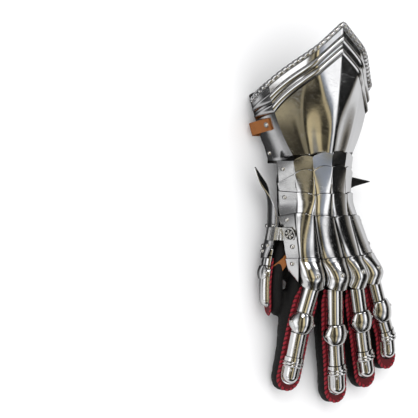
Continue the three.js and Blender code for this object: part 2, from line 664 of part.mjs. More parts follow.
// ---------- straps and flap ----------
{
  // strap around the palm, from the thumb side edge of the hand plate to the outer edge
  const rows = [0, 6, 12, 18].map((w) => {
    const n = gloveRing(-50, 0).length,
      loop = [...Array.from({ length: n - 11 }, (_, k) => 11 + k), 0, 1];
    return loop.map((k, i) => {
      const slant = 13 * Math.sin((Math.PI * clamp(i / (loop.length - 1), 0, 1)) ** 1);
      const y = -37 - w - slant * 0.75;
      return gloveRing(Math.max(y, -69), 1.35 + STRAP)[k].setY(y);
    });
  });
  place("palm_strap", sheet(rows, STRAP, true), "tan_leather");
}
{
  // cuff strap: over the thumb side wall, looped outwards and under to the under plate
  const wall = (y, z) => -(wallX(y, z) + 1.2 * Math.sin((Math.PI * (creaseZ(y) - z)) / (creaseZ(y) - CUFF_EDGE_Z)));
  const rows = [94.5, 88.5, 82.5, 76.5].map((y) => {
    const low = wall(y, 15);
    return [
      [wall(y, 40) - 4.1, 40],
      [wall(y, 34) - 4.1, 34],
      [wall(y, 27) - 4.6, 26],
      [wall(y, 20) - 6.5, 18],
      [low - 7.4, 11],
      [low - 4.2, 4.8],
      [low + 4.8, 2.0],
      [low + 6.2, 1.0],
    ].map(([x, z]) => V(x, y, z));
  });
  place("cuff_strap", sheet(rows, STRAP, false), "tan_leather");
}
{
  const flap = [
    [V(42, 44, 22), V(44, 42, 24)],
    [V(45, 38, 21), V(50, 36, 23)],
    [V(46, 31, 20), V(62, 29, 22)],
    [V(46, 26, 20), V(52, 24.5, 21)],
    [V(45, 20, 19), V(47, 19, 20)],
  ];
  place("glove_cuff_corner", sheet(flap, 1.6, false), "black_leather");
}

// ---------- rivets ----------
function rivet(name, centre, normal, r = 2.6, h = 1.7) {
  const profile = [[0, 0], [r, 0], [r * 0.96, h * 0.35], [r * 0.7, h * 0.8], [r * 0.35, h * 0.97], [0, h]].map(([x, y]) => new THREE.Vector2(x, y));
  const g = new THREE.LatheGeometry(profile, 12);
  const m = place(name, mergeVertices(new THREE.BufferGeometry().setAttribute("position", g.toNonIndexed().getAttribute("position")), 1e-3), "polished_steel");
  m.position.copy(centre);
  m.quaternion.setFromUnitVectors(V(0, 1, 0), normal.clone().normalize());
}
{
  const onPlate = (name, plate, s, y) => {
    const p = platePoint(plate, s, y);
    rivet(name, p.at.clone().addScaledVector(p.normal, 0.5), p.normal);
  };
  onPlate("rivet_wrist_thumb_side", "wrist_lame_1", 0.35, 44);
  onPlate("rivet_wrist_outer_side", "wrist_lame_1", 5.65, 46);
  onPlate("rivet_lame_thumb_side", "wrist_lame_3", 0.35, 16);
  onPlate("rivet_lame_outer_side", "wrist_lame_3", 5.65, 14);
  onPlate("rivet_hand_thumb_side", "hand_plate", 0.5, -6.5);
  onPlate("rivet_hand_outer_side", "hand_plate", 5.5, -7);
  onPlate("rivet_knuckle_thumb_side", "knuckle_plate", 0.5, -50);
  onPlate("rivet_knuckle_outer_side", "knuckle_plate", 5.5, -44);
}

// the box is centred on the origin and stands on z = 0
const box = new THREE.Box3().setFromObject(gauntlet);
gauntlet.position.set(-(box.min.x + box.max.x) / 2, -(box.min.y + box.max.y) / 2, -box.min.z);
const part = new THREE.Group();
part.name = "gauntlet_part";
part.add(gauntlet);
export default part;
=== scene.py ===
"""Armoured gauntlet for a left hand: polished plates over a black leather glove, on a pale studio floor."""

import logging
import math
from dataclasses import dataclass, field
from enum import Enum
from typing import Callable, NamedTuple, Sequence

import bpy
from mathutils import Matrix, Vector

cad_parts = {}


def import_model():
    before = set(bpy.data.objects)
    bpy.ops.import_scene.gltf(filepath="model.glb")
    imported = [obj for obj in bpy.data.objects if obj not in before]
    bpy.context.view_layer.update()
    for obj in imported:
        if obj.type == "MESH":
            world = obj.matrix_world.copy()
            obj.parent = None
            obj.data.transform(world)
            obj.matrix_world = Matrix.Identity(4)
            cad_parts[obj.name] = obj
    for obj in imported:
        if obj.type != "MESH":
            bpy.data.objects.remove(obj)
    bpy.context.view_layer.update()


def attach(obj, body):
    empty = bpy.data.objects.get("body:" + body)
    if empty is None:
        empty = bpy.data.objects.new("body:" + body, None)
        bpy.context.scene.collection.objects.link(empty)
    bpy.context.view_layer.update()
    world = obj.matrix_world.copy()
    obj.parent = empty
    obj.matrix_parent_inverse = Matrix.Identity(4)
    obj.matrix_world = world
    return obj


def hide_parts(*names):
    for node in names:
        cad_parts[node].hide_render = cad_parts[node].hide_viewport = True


log = logging.getLogger("gauntlet")

MM = 0.001
SHIFT = Vector((-23.965429, 0.273804, 0.0))  # from the maker's layout to the model's frame, mm
BODY = "root"

Place = Callable[[float, float], Vector]
Row = Sequence[float]


# ---------------------------------------------------------------- small maths
def lerp(a: float, b: float, t: float) -> float:
    """Returns the value a share t of the way from a to b."""
    return a + (b - a) * t


def clamp(x: float, low: float = 0.0, high: float = 1.0) -> float:
    """Returns x kept between low and high."""
    return min(high, max(low, x))


def smooth(t: float) -> float:
    """Returns t eased at both ends."""
    t = clamp(t)
    return t * t * (3 - 2 * t)


def along(values: Row, s: float) -> float:
    """Returns the value of a list at a fractional index."""
    i = int(clamp(math.floor(s), 0, len(values) - 2))
    return lerp(values[i], values[i + 1], s - i)


def table(x: float, pairs: Sequence[tuple[float, float]]) -> float:
    """Returns the value at x of a list of (x, value) pairs with rising x."""
    if x <= pairs[0][0]:
        return pairs[0][1]
    for (x0, v0), (x1, v1) in zip(pairs, pairs[1:]):
        if x <= x1:
            return lerp(v0, v1, (x - x0) / (x1 - x0))
    return pairs[-1][1]


def at_height(keys: Row, rows: Sequence[Row], y: float) -> Row:
    """Returns a row of numbers at y, eased between rows that are keyed by falling y.

    Args:
        keys: the y of each row, falling.
        rows: the rows of numbers.
        y: where to read them.

    Returns:
        The row at y.
    """
    n = len(keys)
    if y >= keys[0]:
        return rows[0]
    if y <= keys[-1]:
        return rows[-1]
    i = 0
    while y < keys[i + 1]:
        i += 1
    h = keys[i + 1] - keys[i]
    t = (y - keys[i]) / h

    def slope(k: int, j: int) -> float:
        """Returns the slope of column j at row k."""
        if k in (0, n - 1):
            return 0.0
        return (rows[k + 1][j] - rows[k - 1][j]) / (keys[k + 1] - keys[k - 1])

    a, b = 2 * t**3 - 3 * t**2 + 1, 3 * t**2 - 2 * t**3
    c, d = t**3 - 2 * t**2 + t, t**3 - t**2
    return [
        a * rows[i][j] + b * rows[i + 1][j] + c * slope(i, j) * h + d * slope(i + 1, j) * h
        for j in range(len(rows[i]))
    ]


class Frame(NamedTuple):
    """A place on a centre line: centre, way along, way out and way across."""

    c: Vector
    t: Vector
    n: Vector
    b: Vector

    def at(self, b: float, n: float, t: float = 0.0) -> Vector:
        """Returns the point b across, n out and t along from the centre."""
        return self.c + self.b * b + self.n * n + self.t * t

    def out(self, distance: float) -> "Frame":
        """Returns the frame moved out by a distance."""
        return Frame(self.c + self.n * distance, self.t, self.n, self.b)


class CentreLine:
    """A smooth line through points of falling y, read by y."""

    STEPS = 240

    def __init__(self, points: Sequence[Sequence[float]]) -> None:
        """Takes the points the line passes through."""
        self.points = [Vector(p) for p in points]
        self.samples = [self._curve(i / self.STEPS) for i in range(self.STEPS + 1)]

    def _curve(self, t: float) -> Vector:
        """Returns the centripetal Catmull-Rom point at t from 0 to 1."""
        pts, n = self.points, len(self.points)
        p = (n - 1) * t
        i = min(int(p), n - 2)
        w = p - i
        p1, p2 = pts[i], pts[i + 1]
        p0 = pts[i - 1] if i else p1 * 2 - p2
        p3 = pts[i + 2] if i + 2 < n else p2 * 2 - p1
        d0, d1, d2 = ((b - a).length ** 0.5 for a, b in ((p0, p1), (p1, p2), (p2, p3)))
        m1 = ((p1 - p0) / d0 - (p2 - p0) / (d0 + d1) + (p2 - p1) / d1) * d1
        m2 = ((p2 - p1) / d1 - (p3 - p1) / (d1 + d2) + (p3 - p2) / d2) * d1
        return p1 + m1 * w + (p1 * -3 + p2 * 3 - m1 * 2 - m2) * w**2 + (p1 * 2 - p2 * 2 + m1 + m2) * w**3

    def at(self, y: float) -> Vector:
        """Returns the point of the line at height y, beyond its ends in a straight line."""
        low, high = 0, self.STEPS - 1
        while low < high:
            mid = (low + high) // 2
            if self.samples[mid + 1].y > y:
                low = mid + 1
            else:
                high = mid
        a, b = self.samples[low], self.samples[low + 1]
        return a.lerp(b, (a.y - y) / (a.y - b.y))

    def frame(self, y: float, up: Vector) -> Frame:
        """Returns the frame at height y whose way out is nearest to up."""
        t = (self.at(y - 2) - self.at(y + 2)).normalized()
        n = (up - t * up.dot(t)).normalized()
        return Frame(self.at(y), t, n, n.cross(t).normalized())


# ---------------------------------------------------------------- shader groups
class Tree:
    """A thin helper over a node tree, so that a material reads like a list of steps."""

    def __init__(self, tree: bpy.types.NodeTree) -> None:
        """Takes the node tree to add to."""
        self.tree = tree

    def node(self, kind: str, inputs: dict | None = None, **settings: object) -> bpy.types.Node:
        """Adds a node.

        Args:
            kind: the node type after ShaderNode.
            inputs: values or sockets for its inputs, by name or number.
            settings: attributes of the node.

        Returns:
            The new node.
        """
        made = self.tree.nodes.new(kind if kind.startswith("Node") else "ShaderNode" + kind)
        for key, value in settings.items():
            setattr(made, key, value)
        for key, value in (inputs or {}).items():
            socket = made.inputs[key]
            if isinstance(value, bpy.types.NodeSocket):
                self.tree.links.new(value, socket)
            else:
                socket.default_value = value
        return made

    def maths(self, operation: str, *values: object) -> bpy.types.NodeSocket:
        """Adds a Math node and returns its output."""
        return self.node("Math", dict(enumerate(values)), operation=operation).outputs[0]

    def ramp(self, fac: bpy.types.NodeSocket, stops: Sequence[tuple[float, Sequence[float]]]) -> bpy.types.NodeSocket:
        """Adds a Color Ramp with the given stops and returns its colour."""
        made = self.node("ValToRGB", {"Fac": fac})
        ends = made.color_ramp.elements
        while len(ends) < len(stops):
            ends.new(0.5)
        for end, (place, colour) in zip(ends, stops):
            end.position = place
            end.color = (*colour, 1.0)
        return made.outputs["Color"]

    def mix(self, fac: object, a: object, b: object) -> bpy.types.NodeSocket:
        """Adds a colour Mix node and returns its result."""
        made = self.node("Mix", data_type="RGBA")
        for socket, value in ((made.inputs[0], fac), (made.inputs[6], a), (made.inputs[7], b)):
            if isinstance(value, bpy.types.NodeSocket):
                self.tree.links.new(value, socket)
            elif isinstance(value, (int, float)):
                socket.default_value = value
            else:
                socket.default_value = (*value, 1.0)
        return made.outputs[2]


def group(name: str, inputs: Sequence[str], outputs: Sequence[str]) -> tuple[Tree, bpy.types.Node, bpy.types.Node]:
    """Starts a shader group of number sockets.

    Args:
        name: the group's name.
        inputs: names of its inputs; Vector is a vector.
        outputs: names of its outputs, all numbers.

    Returns:
        The tree helper, the input node and the output node.
    """
    made = bpy.data.node_groups.new(name, "ShaderNodeTree")
    for label in inputs:
        kind = "NodeSocketVector" if label == "Vector" else "NodeSocketFloat"
        made.interface.new_socket(label, in_out="INPUT", socket_type=kind)
    for label in outputs:
        made.interface.new_socket(label, in_out="OUTPUT", socket_type="NodeSocketFloat")
    tree = Tree(made)
    return tree, tree.node("NodeGroupInput"), tree.node("NodeGroupOutput")


class SharedEffects:
    """The shader groups that more than one finish uses, each built once."""

    def __init__(self) -> None:
        """Builds the groups."""
        self.scratches = self._scratches()
        self.grain = self._grain()
        self.twist = self._twist()

    @staticmethod
    def _scratches() -> bpy.types.NodeTree:
        """Builds fine crossing scratches with a soft wave under them, out as Height and Mask."""
        t, given, out = group("fine_scratches", ["Vector", "Scale", "Wave"], ["Height", "Mask"])
        total: object = 0.0
        for angle, stretch in ((0.35, 26.0), (-0.9, 34.0), (1.5, 30.0)):
            turned = t.node("Mapping", {"Vector": given.outputs["Vector"], "Rotation": (0.3, angle, angle)})
            long = t.node("Mapping", {"Vector": turned.outputs[0], "Scale": (1.0, stretch, 1.0)})
            noise = t.node("TexNoise", {"Vector": long.outputs[0], "Scale": given.outputs["Scale"], "Detail": 2.0})
            line = t.node("MapRange", {"Value": noise.outputs["Fac"], "From Min": 0.64, "From Max": 0.72})
            total = t.maths("ADD", total, line.outputs[0])
        wave = t.node("TexNoise", {"Vector": given.outputs["Vector"], "Scale": 34.0, "Detail": 1.0})
        lifted = t.maths("MULTIPLY", wave.outputs["Fac"], given.outputs["Wave"])
        t.tree.links.new(t.maths("SUBTRACT", lifted, t.maths("MULTIPLY", total, 0.04)), out.inputs["Height"])
        t.tree.links.new(t.maths("MINIMUM", total, 1.0), out.inputs["Mask"])
        return t.tree

    @staticmethod
    def _grain() -> bpy.types.NodeTree:
        """Builds pebbled leather grain with creases, out as Height and Shade."""
        t, given, out = group("leather_grain", ["Vector", "Scale", "Crease"], ["Height", "Shade"])
        pebble = t.node(
            "TexVoronoi", {"Vector": given.outputs["Vector"], "Scale": given.outputs["Scale"]},
            feature="DISTANCE_TO_EDGE"
        )
        soft = t.node("MapRange", {"Value": pebble.outputs["Distance"], "From Min": 0.0, "From Max": 0.28})
        fold = t.node(
            "TexNoise", {"Vector": given.outputs["Vector"], "Scale": 90.0, "Detail": 4.0, "Distortion": 1.2}
        )
        crease = t.maths("MULTIPLY", t.maths("SUBTRACT", fold.outputs["Fac"], 0.5), given.outputs["Crease"])
        t.tree.links.new(t.maths("ADD", soft.outputs[0], crease), out.inputs["Height"])
        shade = t.maths(
            "ADD", t.maths("MULTIPLY", soft.outputs[0], 0.5), t.maths("MULTIPLY", fold.outputs["Fac"], 0.5)
        )
        t.tree.links.new(shade, out.inputs["Shade"])
        return t.tree

    @staticmethod
    def _twist() -> bpy.types.NodeTree:
        """Builds the dark diagonal lines of a braided edge from its own map, out as Mask."""
        t, given, out = group("braid_lines", ["Vector", "Width"], ["Mask"])
        parts = t.node("SeparateXYZ", {"Vector": given.outputs["Vector"]})
        turn = t.maths("FRACT", t.maths("ADD", parts.outputs[0], parts.outputs[1]))
        near = t.maths("ABSOLUTE", t.maths("SUBTRACT", turn, 0.5))
        line = t.node(
            "MapRange",
            {"Value": near, "From Min": t.maths("SUBTRACT", 0.5, given.outputs["Width"]), "From Max": 0.5}
        )
        t.tree.links.new(line.outputs[0], out.inputs["Mask"])
        return t.tree


# ---------------------------------------------------------------- finishes
class Slot(Enum):
    """The material slots of the record."""

    STEEL = "polished_steel"
    BLACK = "black_leather"
    RED = "red_leather"
    TAN = "tan_leather"


@dataclass(frozen=True)
class SteelFinish:
    """Polished plate with fine scratches, smudges, a soft wave and painted shade: near-black lines beside laps and
    grooves.
    """

    name: str
    colour: tuple[float, float, float] = (0.82, 0.82, 0.83)
    roughness: float = 0.09
    smudge: float = 0.14
    wave: float = 0.35

    def material(self, shared: SharedEffects) -> bpy.types.Material:
        """Builds the material."""
        made = bpy.data.materials.new(self.name)
        made.use_nodes = True
        made.node_tree.nodes.clear()
        t = Tree(made.node_tree)
        place = t.node("TexCoord").outputs["Object"]
        lines = t.node("Group", node_tree=shared.scratches)
        t.tree.links.new(place, lines.inputs["Vector"])
        lines.inputs["Scale"].default_value = 95.0
        lines.inputs["Wave"].default_value = self.wave
        stain = t.node("TexNoise", {"Vector": place, "Scale": 48.0, "Detail": 5.0, "Roughness": 0.62})
        dull = t.node(
            "MapRange",
            {
                "Value": stain.outputs["Fac"], "From Min": 0.42, "From Max": 0.78, "To Min": self.roughness,
                "To Max": self.roughness + self.smudge
            }
        )
        rough = t.maths("ADD", dull.outputs[0], t.maths("MULTIPLY", lines.outputs["Mask"], 0.12))
        # painted shade: where the seam attribute marks a lap, groove, rim rope or bead foot close by, the steel is
        # tinted near-black
        seam = t.node("Attribute", attribute_name="seam").outputs["Fac"]
        painted_lap_shade = t.node("MapRange", {"Value": seam, "From Min": 0.87, "From Max": 0.95}).outputs[0]
        tint = t.mix(
            t.maths("MULTIPLY", stain.outputs["Fac"], 0.35), self.colour, tuple(0.82 * c for c in self.colour)
        )
        tint = t.mix(t.maths("MULTIPLY", painted_lap_shade, 0.93), tint, (0.02, 0.018, 0.015))
        bump = t.node("Bump", {"Height": lines.outputs["Height"], "Strength": 0.35, "Distance": 0.0006})
        shader = t.node(
            "BsdfPrincipled", {"Base Color": tint, "Metallic": 1.0, "Roughness": rough, "Normal": bump.outputs[0]}
        )
        t.node("OutputMaterial", {"Surface": shader.outputs[0]})
        return made


@dataclass(frozen=True)
class LeatherFinish:
    """Dyed leather with grain, creases and rubbed high spots."""

    name: str
    colour: tuple[float, float, float]
    worn: tuple[float, float, float]
    roughness: float = 0.55
    grain: float = 900.0
    crease: float = 0.8
    height: float = 0.00022
    braid: float = 0.0

    def material(self, shared: SharedEffects) -> bpy.types.Material:
        """Builds the material."""
        made = bpy.data.materials.new(self.name)
        made.use_nodes = True
        made.node_tree.nodes.clear()
        t = Tree(made.node_tree)
        coordinate = t.node("TexCoord")
        place = coordinate.outputs["Object"]
        skin = t.node("Group", node_tree=shared.grain)
        t.tree.links.new(place, skin.inputs["Vector"])
        skin.inputs["Scale"].default_value = self.grain
        skin.inputs["Crease"].default_value = self.crease
        colour = t.mix(skin.outputs["Shade"], self.colour, self.worn)
        height = skin.outputs["Height"]
        if self.braid:
            lines = t.node("Group", node_tree=shared.twist)
            t.tree.links.new(coordinate.outputs["UV"], lines.inputs["Vector"])
            lines.inputs["Width"].default_value = self.braid
            colour = t.mix(lines.outputs["Mask"], colour, (0.012, 0.003, 0.004))
        rough = t.node(
            "MapRange",
            {"Value": skin.outputs["Shade"], "To Min": self.roughness + 0.12, "To Max": self.roughness - 0.1}
        )
        bump = t.node("Bump", {"Height": height, "Strength": 0.6, "Distance": self.height})
        shader = t.node(
            "BsdfPrincipled",
            {
                "Base Color": colour, "Roughness": rough.outputs[0], "Specular IOR Level": 0.3,
                "Normal": bump.outputs[0]
            }
        )
        t.node("OutputMaterial", {"Surface": shader.outputs[0]})
        return made


class Finishes:
    """Every finish of the gauntlet, made once."""

    def __init__(self) -> None:
        """Builds the shared groups and the materials."""
        shared = SharedEffects()
        self.steel = SteelFinish("mirror_plate").material(shared)
        self.bright = SteelFinish("rivet_steel", (0.88, 0.87, 0.85), 0.1, 0.06, 0.1).material(shared)
        self.etched = SteelFinish("etched_steel", (0.8, 0.8, 0.79), 0.2, 0.14, 0.3).material(shared)
        self.inside = LeatherFinish(
            "blackened_inside", (0.010, 0.010, 0.011), (0.022, 0.021, 0.020), 0.5, 500.0, 0.5, 0.0001
        ).material(shared)
        self.black = LeatherFinish(
            "glove_leather", (0.0022, 0.0022, 0.0024), (0.0075, 0.007, 0.0075), 0.5, 1000.0, 1.2, 0.0003
        ).material(shared)
        self.red = LeatherFinish(
            "crimson_leather", (0.05, 0.0015, 0.003), (0.17, 0.006, 0.012), 0.46
        ).material(shared)
        self.braid = LeatherFinish(
            "crimson_braid", (0.17, 0.004, 0.011), (0.40, 0.018, 0.034), 0.42, braid=0.32
        ).material(shared)
        self.tan = LeatherFinish(
            "waxed_tan_leather", (0.16, 0.05, 0.009), (0.36, 0.13, 0.03), 0.42, 800.0, 1.0
        ).material(shared)
        self.thread = LeatherFinish(
            "waxed_thread", (0.30, 0.006, 0.016), (0.5, 0.03, 0.05), 0.5, 2500.0, 0.3
        ).material(shared)


# ---------------------------------------------------------------- bench work
class Bench:
    """The modelling steps that every piece goes through."""

    def __init__(self, finishes: Finishes) -> None:
        """Takes the finishes that pieces are dressed in."""
        self.finish = finishes
        self.made = 0

    @staticmethod
    def clear() -> None:
        """Leaves edit mode with nothing selected."""
        if bpy.context.object and bpy.context.object.mode != "OBJECT":
            bpy.ops.object.mode_set(mode="OBJECT")
        bpy.ops.object.select_all(action="DESELECT")

    @classmethod
    def pick(cls, obj: bpy.types.Object) -> None:
        """Makes obj the only selected and active object."""
        cls.clear()
        obj.select_set(True)
        bpy.context.view_layer.objects.active = obj

    @classmethod
    def sheet(
        cls, name: str, across: int, down: int, place: Place, outward: Vector | Callable[[Vector], Vector],
        seam: Callable[[float, float], float] | None = None
    ) -> bpy.types.Object:
        """Lays a flat grid over a surface.

        Args:
            name: the object's name.
            across: faces across.
            down: faces down.
            place: gives the point, in layout millimetres, at shares u and v.
            outward: the way that its faces look, or a function of a face's centre that gives it.
            seam: gives the distance, in millimetres, to the nearest lap or groove, where the steel is darkened with
                painted shade.

        Returns:
            The sheet, one face thick.
        """
        cls.clear()
        bpy.ops.mesh.primitive_grid_add(x_subdivisions=across, y_subdivisions=down, size=1.0)
        obj = bpy.context.active_object
        obj.name = name
        near = [0.0] * len(obj.data.vertices)
        for i, vertex in enumerate(obj.data.vertices):
            u, v = clamp(vertex.co.x + 0.5), clamp(vertex.co.y + 0.5)
            # the seam attribute stored here drives the steel's painted shade at laps and grooves
            if seam:
                near[i] = clamp(1 - seam(u, v) / 8)
            vertex.co = (place(u, v) + SHIFT) * MM
        if seam:
            obj.data.attributes.new("seam", "FLOAT", "POINT").data.foreach_set("value", near)
        obj.data.update()
        total = 0.0
        for face in obj.data.polygons:
            way = outward if isinstance(outward, Vector) else outward(face.center / MM - SHIFT)
            total += face.normal.dot(way) * face.area
        bpy.ops.object.mode_set(mode="EDIT")
        bpy.ops.mesh.select_all(action="SELECT")
        if total < 0:
            bpy.ops.mesh.flip_normals()
        bpy.ops.object.mode_set(mode="OBJECT")
        return obj

    @classmethod
    def tube(cls, name: str, around: int, down: int, place: Place, turns: float = 1.0) -> bpy.types.Object:
        """Rolls a grid into a closed tube with capped ends.

        Args:
            name: the object's name.
            around: faces around.
            down: faces along.
            place: gives the point at share u around and v along.
            turns: how many repeats of its pattern the tube's map has along it.

        Returns:
            The closed tube.
        """
        obj = cls.sheet(name, around, down, lambda u, v: place(u % 1.0, v), Vector((0, 0, 1)))
        for loop in obj.data.uv_layers.active.data:
            loop.uv[1] *= turns
        bpy.ops.object.mode_set(mode="EDIT")
        bpy.ops.mesh.select_all(action="SELECT")
        bpy.ops.mesh.remove_doubles(threshold=1e-6)
        bpy.ops.mesh.fill_holes(sides=0)
        bpy.ops.mesh.select_all(action="SELECT")
        bpy.ops.mesh.normals_make_consistent(inside=False)
        bpy.ops.object.mode_set(mode="OBJECT")
        return obj

    @classmethod
    def modify(cls, obj: bpy.types.Object, kind: str, **settings: object) -> None:
        """Adds a modifier with the given settings and applies it."""
        cls.pick(obj)
        bpy.ops.object.modifier_add(type=kind)
        modifier = obj.modifiers[-1]
        for key, value in settings.items():
            setattr(modifier, key, value)
        bpy.ops.object.modifier_apply(modifier=modifier.name)

    def wall(self, obj: bpy.types.Object, thickness: float, bevel: float = 0.22, angle: float = 50.0) -> None:
        """Thickens a sheet inwards and eases its edges.

        Args:
            obj: the sheet.
            thickness: millimetres.
            bevel: width of the eased edge, millimetres.
            angle: edges sharper than this many degrees are eased.
        """
        self.modify(obj, "SOLIDIFY", thickness=thickness * MM, offset=-1.0, use_even_offset=False, material_offset=1)
        if bevel:
            self.modify(
                obj, "BEVEL", width=bevel * MM, segments=2, limit_method="ANGLE", angle_limit=math.radians(angle)
            )

    def dress(
        self, obj: bpy.types.Object, slot: Slot, materials: Sequence[bpy.types.Material],
        replaces: Sequence[str] = (), angle: float = 32.0
    ) -> bpy.types.Object:
        """Gives a piece its finish, its shading and its place in the model.

        Args:
            obj: the piece.
            slot: the record's slot for its finish; not used.
            materials: its materials, in slot order.
            replaces: CAD nodes it stands for.
            angle: edges sharper than this many degrees stay sharp.

        Returns:
            The piece.
        """
        self.pick(obj)
        slots = [face.material_index for face in obj.data.polygons]
        obj.data.materials.clear()
        for material in materials:
            obj.data.materials.append(material)
        obj.data.polygons.foreach_set("material_index", [min(slot, len(materials) - 1) for slot in slots])
        bpy.ops.object.shade_smooth_by_angle(angle=math.radians(angle))
        if replaces:
            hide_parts(*replaces)
        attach(obj, BODY)
        self.made += 1
        log.info("%s: %d faces", obj.name, len(obj.data.polygons))
        return obj

    def plate(
        self, obj: bpy.types.Object, node: str | None, thickness: float = 1.1, angle: float = 32.0
    ) -> bpy.types.Object:
        """Makes a sheet a steel plate, polished outside and blackened inside."""
        finish = self.finish
        obj.data.materials.clear()
        obj.data.materials.append(finish.steel)
        obj.data.materials.append(finish.inside)
        self.wall(obj, thickness)
        return self.dress(obj, Slot.STEEL, (finish.steel, finish.inside), (node,) if node else (), angle)

    @classmethod
    def join(cls, parts: Sequence[bpy.types.Object], name: str) -> bpy.types.Object:
        """Joins parts into the first one and names it."""
        cls.clear()
        for part in parts:
            part.select_set(True)
        bpy.context.view_layer.objects.active = parts[0]
        if len(parts) > 1:
            bpy.ops.object.join()
        parts[0].name = name
        return parts[0]

    @classmethod
    def stand(cls, obj: bpy.types.Object, centre: Vector, way: Vector, spin: float = 0.0) -> None:
        """Moves a part modelled at the origin, standing on Z, to a place facing a way.

        Args:
            obj: the part.
            centre: where it goes, in layout millimetres.
            way: where its Z goes.
            spin: radians about its own axis first.
        """
        turn = way.normalized().to_track_quat("Z", "Y").to_matrix().to_4x4() @ Matrix.Rotation(spin, 4, "Z")
        obj.data.transform(Matrix.Translation((centre + SHIFT) * MM) @ turn)

    @classmethod
    def dome(cls, name: str, radius: float, height: float) -> bpy.types.Object:
        """Turns a domed rivet head with a small foot at the origin.

        Args:
            name: the object's name.
            radius: millimetres.
            height: millimetres.

        Returns:
            The head, standing on Z.
        """
        cls.clear()
        bpy.ops.mesh.primitive_uv_sphere_add(segments=20, ring_count=12, radius=radius * MM)
        obj = bpy.context.active_object
        obj.name = name
        bpy.ops.object.mode_set(mode="EDIT")
        bpy.ops.mesh.select_all(action="SELECT")
        bpy.ops.transform.resize(value=(1, 1, height / radius))
        bpy.ops.mesh.bisect(plane_co=(0, 0, 0), plane_no=(0, 0, 1), clear_inner=True)
        bpy.ops.mesh.select_all(action="DESELECT")
        bpy.ops.mesh.select_mode(type="EDGE")
        bpy.ops.mesh.select_non_manifold()
        bpy.ops.mesh.extrude_region_move(TRANSFORM_OT_translate={"value": (0, 0, -0.5 * MM)})
        bpy.ops.mesh.fill()
        bpy.ops.mesh.select_all(action="SELECT")
        bpy.ops.mesh.normals_make_consistent(inside=False)
        bpy.ops.object.mode_set(mode="OBJECT")
        return obj

    @staticmethod
    def copy(obj: bpy.types.Object) -> bpy.types.Object:
        """Returns a copy of a part with its own mesh."""
        made = obj.copy()
        made.data = obj.data.copy()
        bpy.context.collection.objects.link(made)
        return made

    @staticmethod
    def drop(obj: bpy.types.Object) -> None:
        """Removes a part that was only a pattern for copies."""
        bpy.data.objects.remove(obj, do_unlink=True)

    def rivets(
        self, name: str, places: Sequence[tuple[Vector, Vector]], radius: float, height: float,
        replaces: Sequence[str] = ()
    ) -> None:
        """Sets a row of equal rivets as one piece.

        Args:
            name: the piece's name.
            places: centre and way out of each.
            radius: millimetres.
            height: millimetres.
            replaces: CAD nodes they stand for.
        """
        pattern = self.dome(name + "_pattern", radius, height)
        heads = []
        for centre, way in places:
            head = self.copy(pattern)
            self.stand(head, centre, way)
            heads.append(head)
        self.drop(pattern)
        self.dress(self.join(heads, name), Slot.STEEL, (self.finish.bright,), replaces, 40)

    def rope(
        self, name: str, path: Sequence[Vector], ups: Sequence[Vector], radius: float, pitch: float,
        groove: float, flat: float = 1.0, around: int = 12, step: float = 0.6
    ) -> bpy.types.Object:
        """Rolls a twisted cord along a path.

        Args:
            name: the object's name.
            path: its points, in layout millimetres.
            ups: the way out at each point.
            radius: millimetres.
            pitch: length of one turn, millimetres.
            groove: depth of the grooves as a share of the radius.
            flat: height as a share of width.
            around: faces around.
            step: length of a face, millimetres.

        Returns:
            The closed cord.
        """
        lengths = [0.0]
        for a, b in zip(path, path[1:]):
            lengths.append(lengths[-1] + (b - a).length)
        total = lengths[-1]

        def read(distance: float) -> tuple[Vector, Vector]:
            """Returns the point and the way out at a distance along the path."""
            distance = clamp(distance, 0, total)
            i = 0
            low, high = 0, len(lengths) - 2
            while low < high:
                i = (low + high + 1) // 2
                if lengths[i] <= distance:
                    low = i
                else:
                    high = i - 1
            i = low
            k = (distance - lengths[i]) / max(1e-9, lengths[i + 1] - lengths[i])
            return path[i].lerp(path[i + 1], k), ups[i].lerp(ups[i + 1], k).normalized()

        def place(u: float, v: float) -> Vector:
            """Returns the point of the cord's skin."""
            s = v * total
            centre, up = read(s)
            way = (read(s + 0.8)[0] - read(s - 0.8)[0]).normalized()
            side = way.cross(up).normalized()
            out = side.cross(way)
            near = abs(((u + s / pitch) % 1.0) - 0.5)
            depth = 1 - groove * smooth((near - 0.32) / 0.18)
            end = math.sqrt(clamp(min(v, 1 - v) * total / radius, 0.02, 1.0))
            a = 2 * math.pi * u
            return centre + (side * math.cos(a) + out * (math.sin(a) * flat)) * (radius * depth * end)

        return self.tube(name, around, max(8, int(total / step)), place, total / pitch)


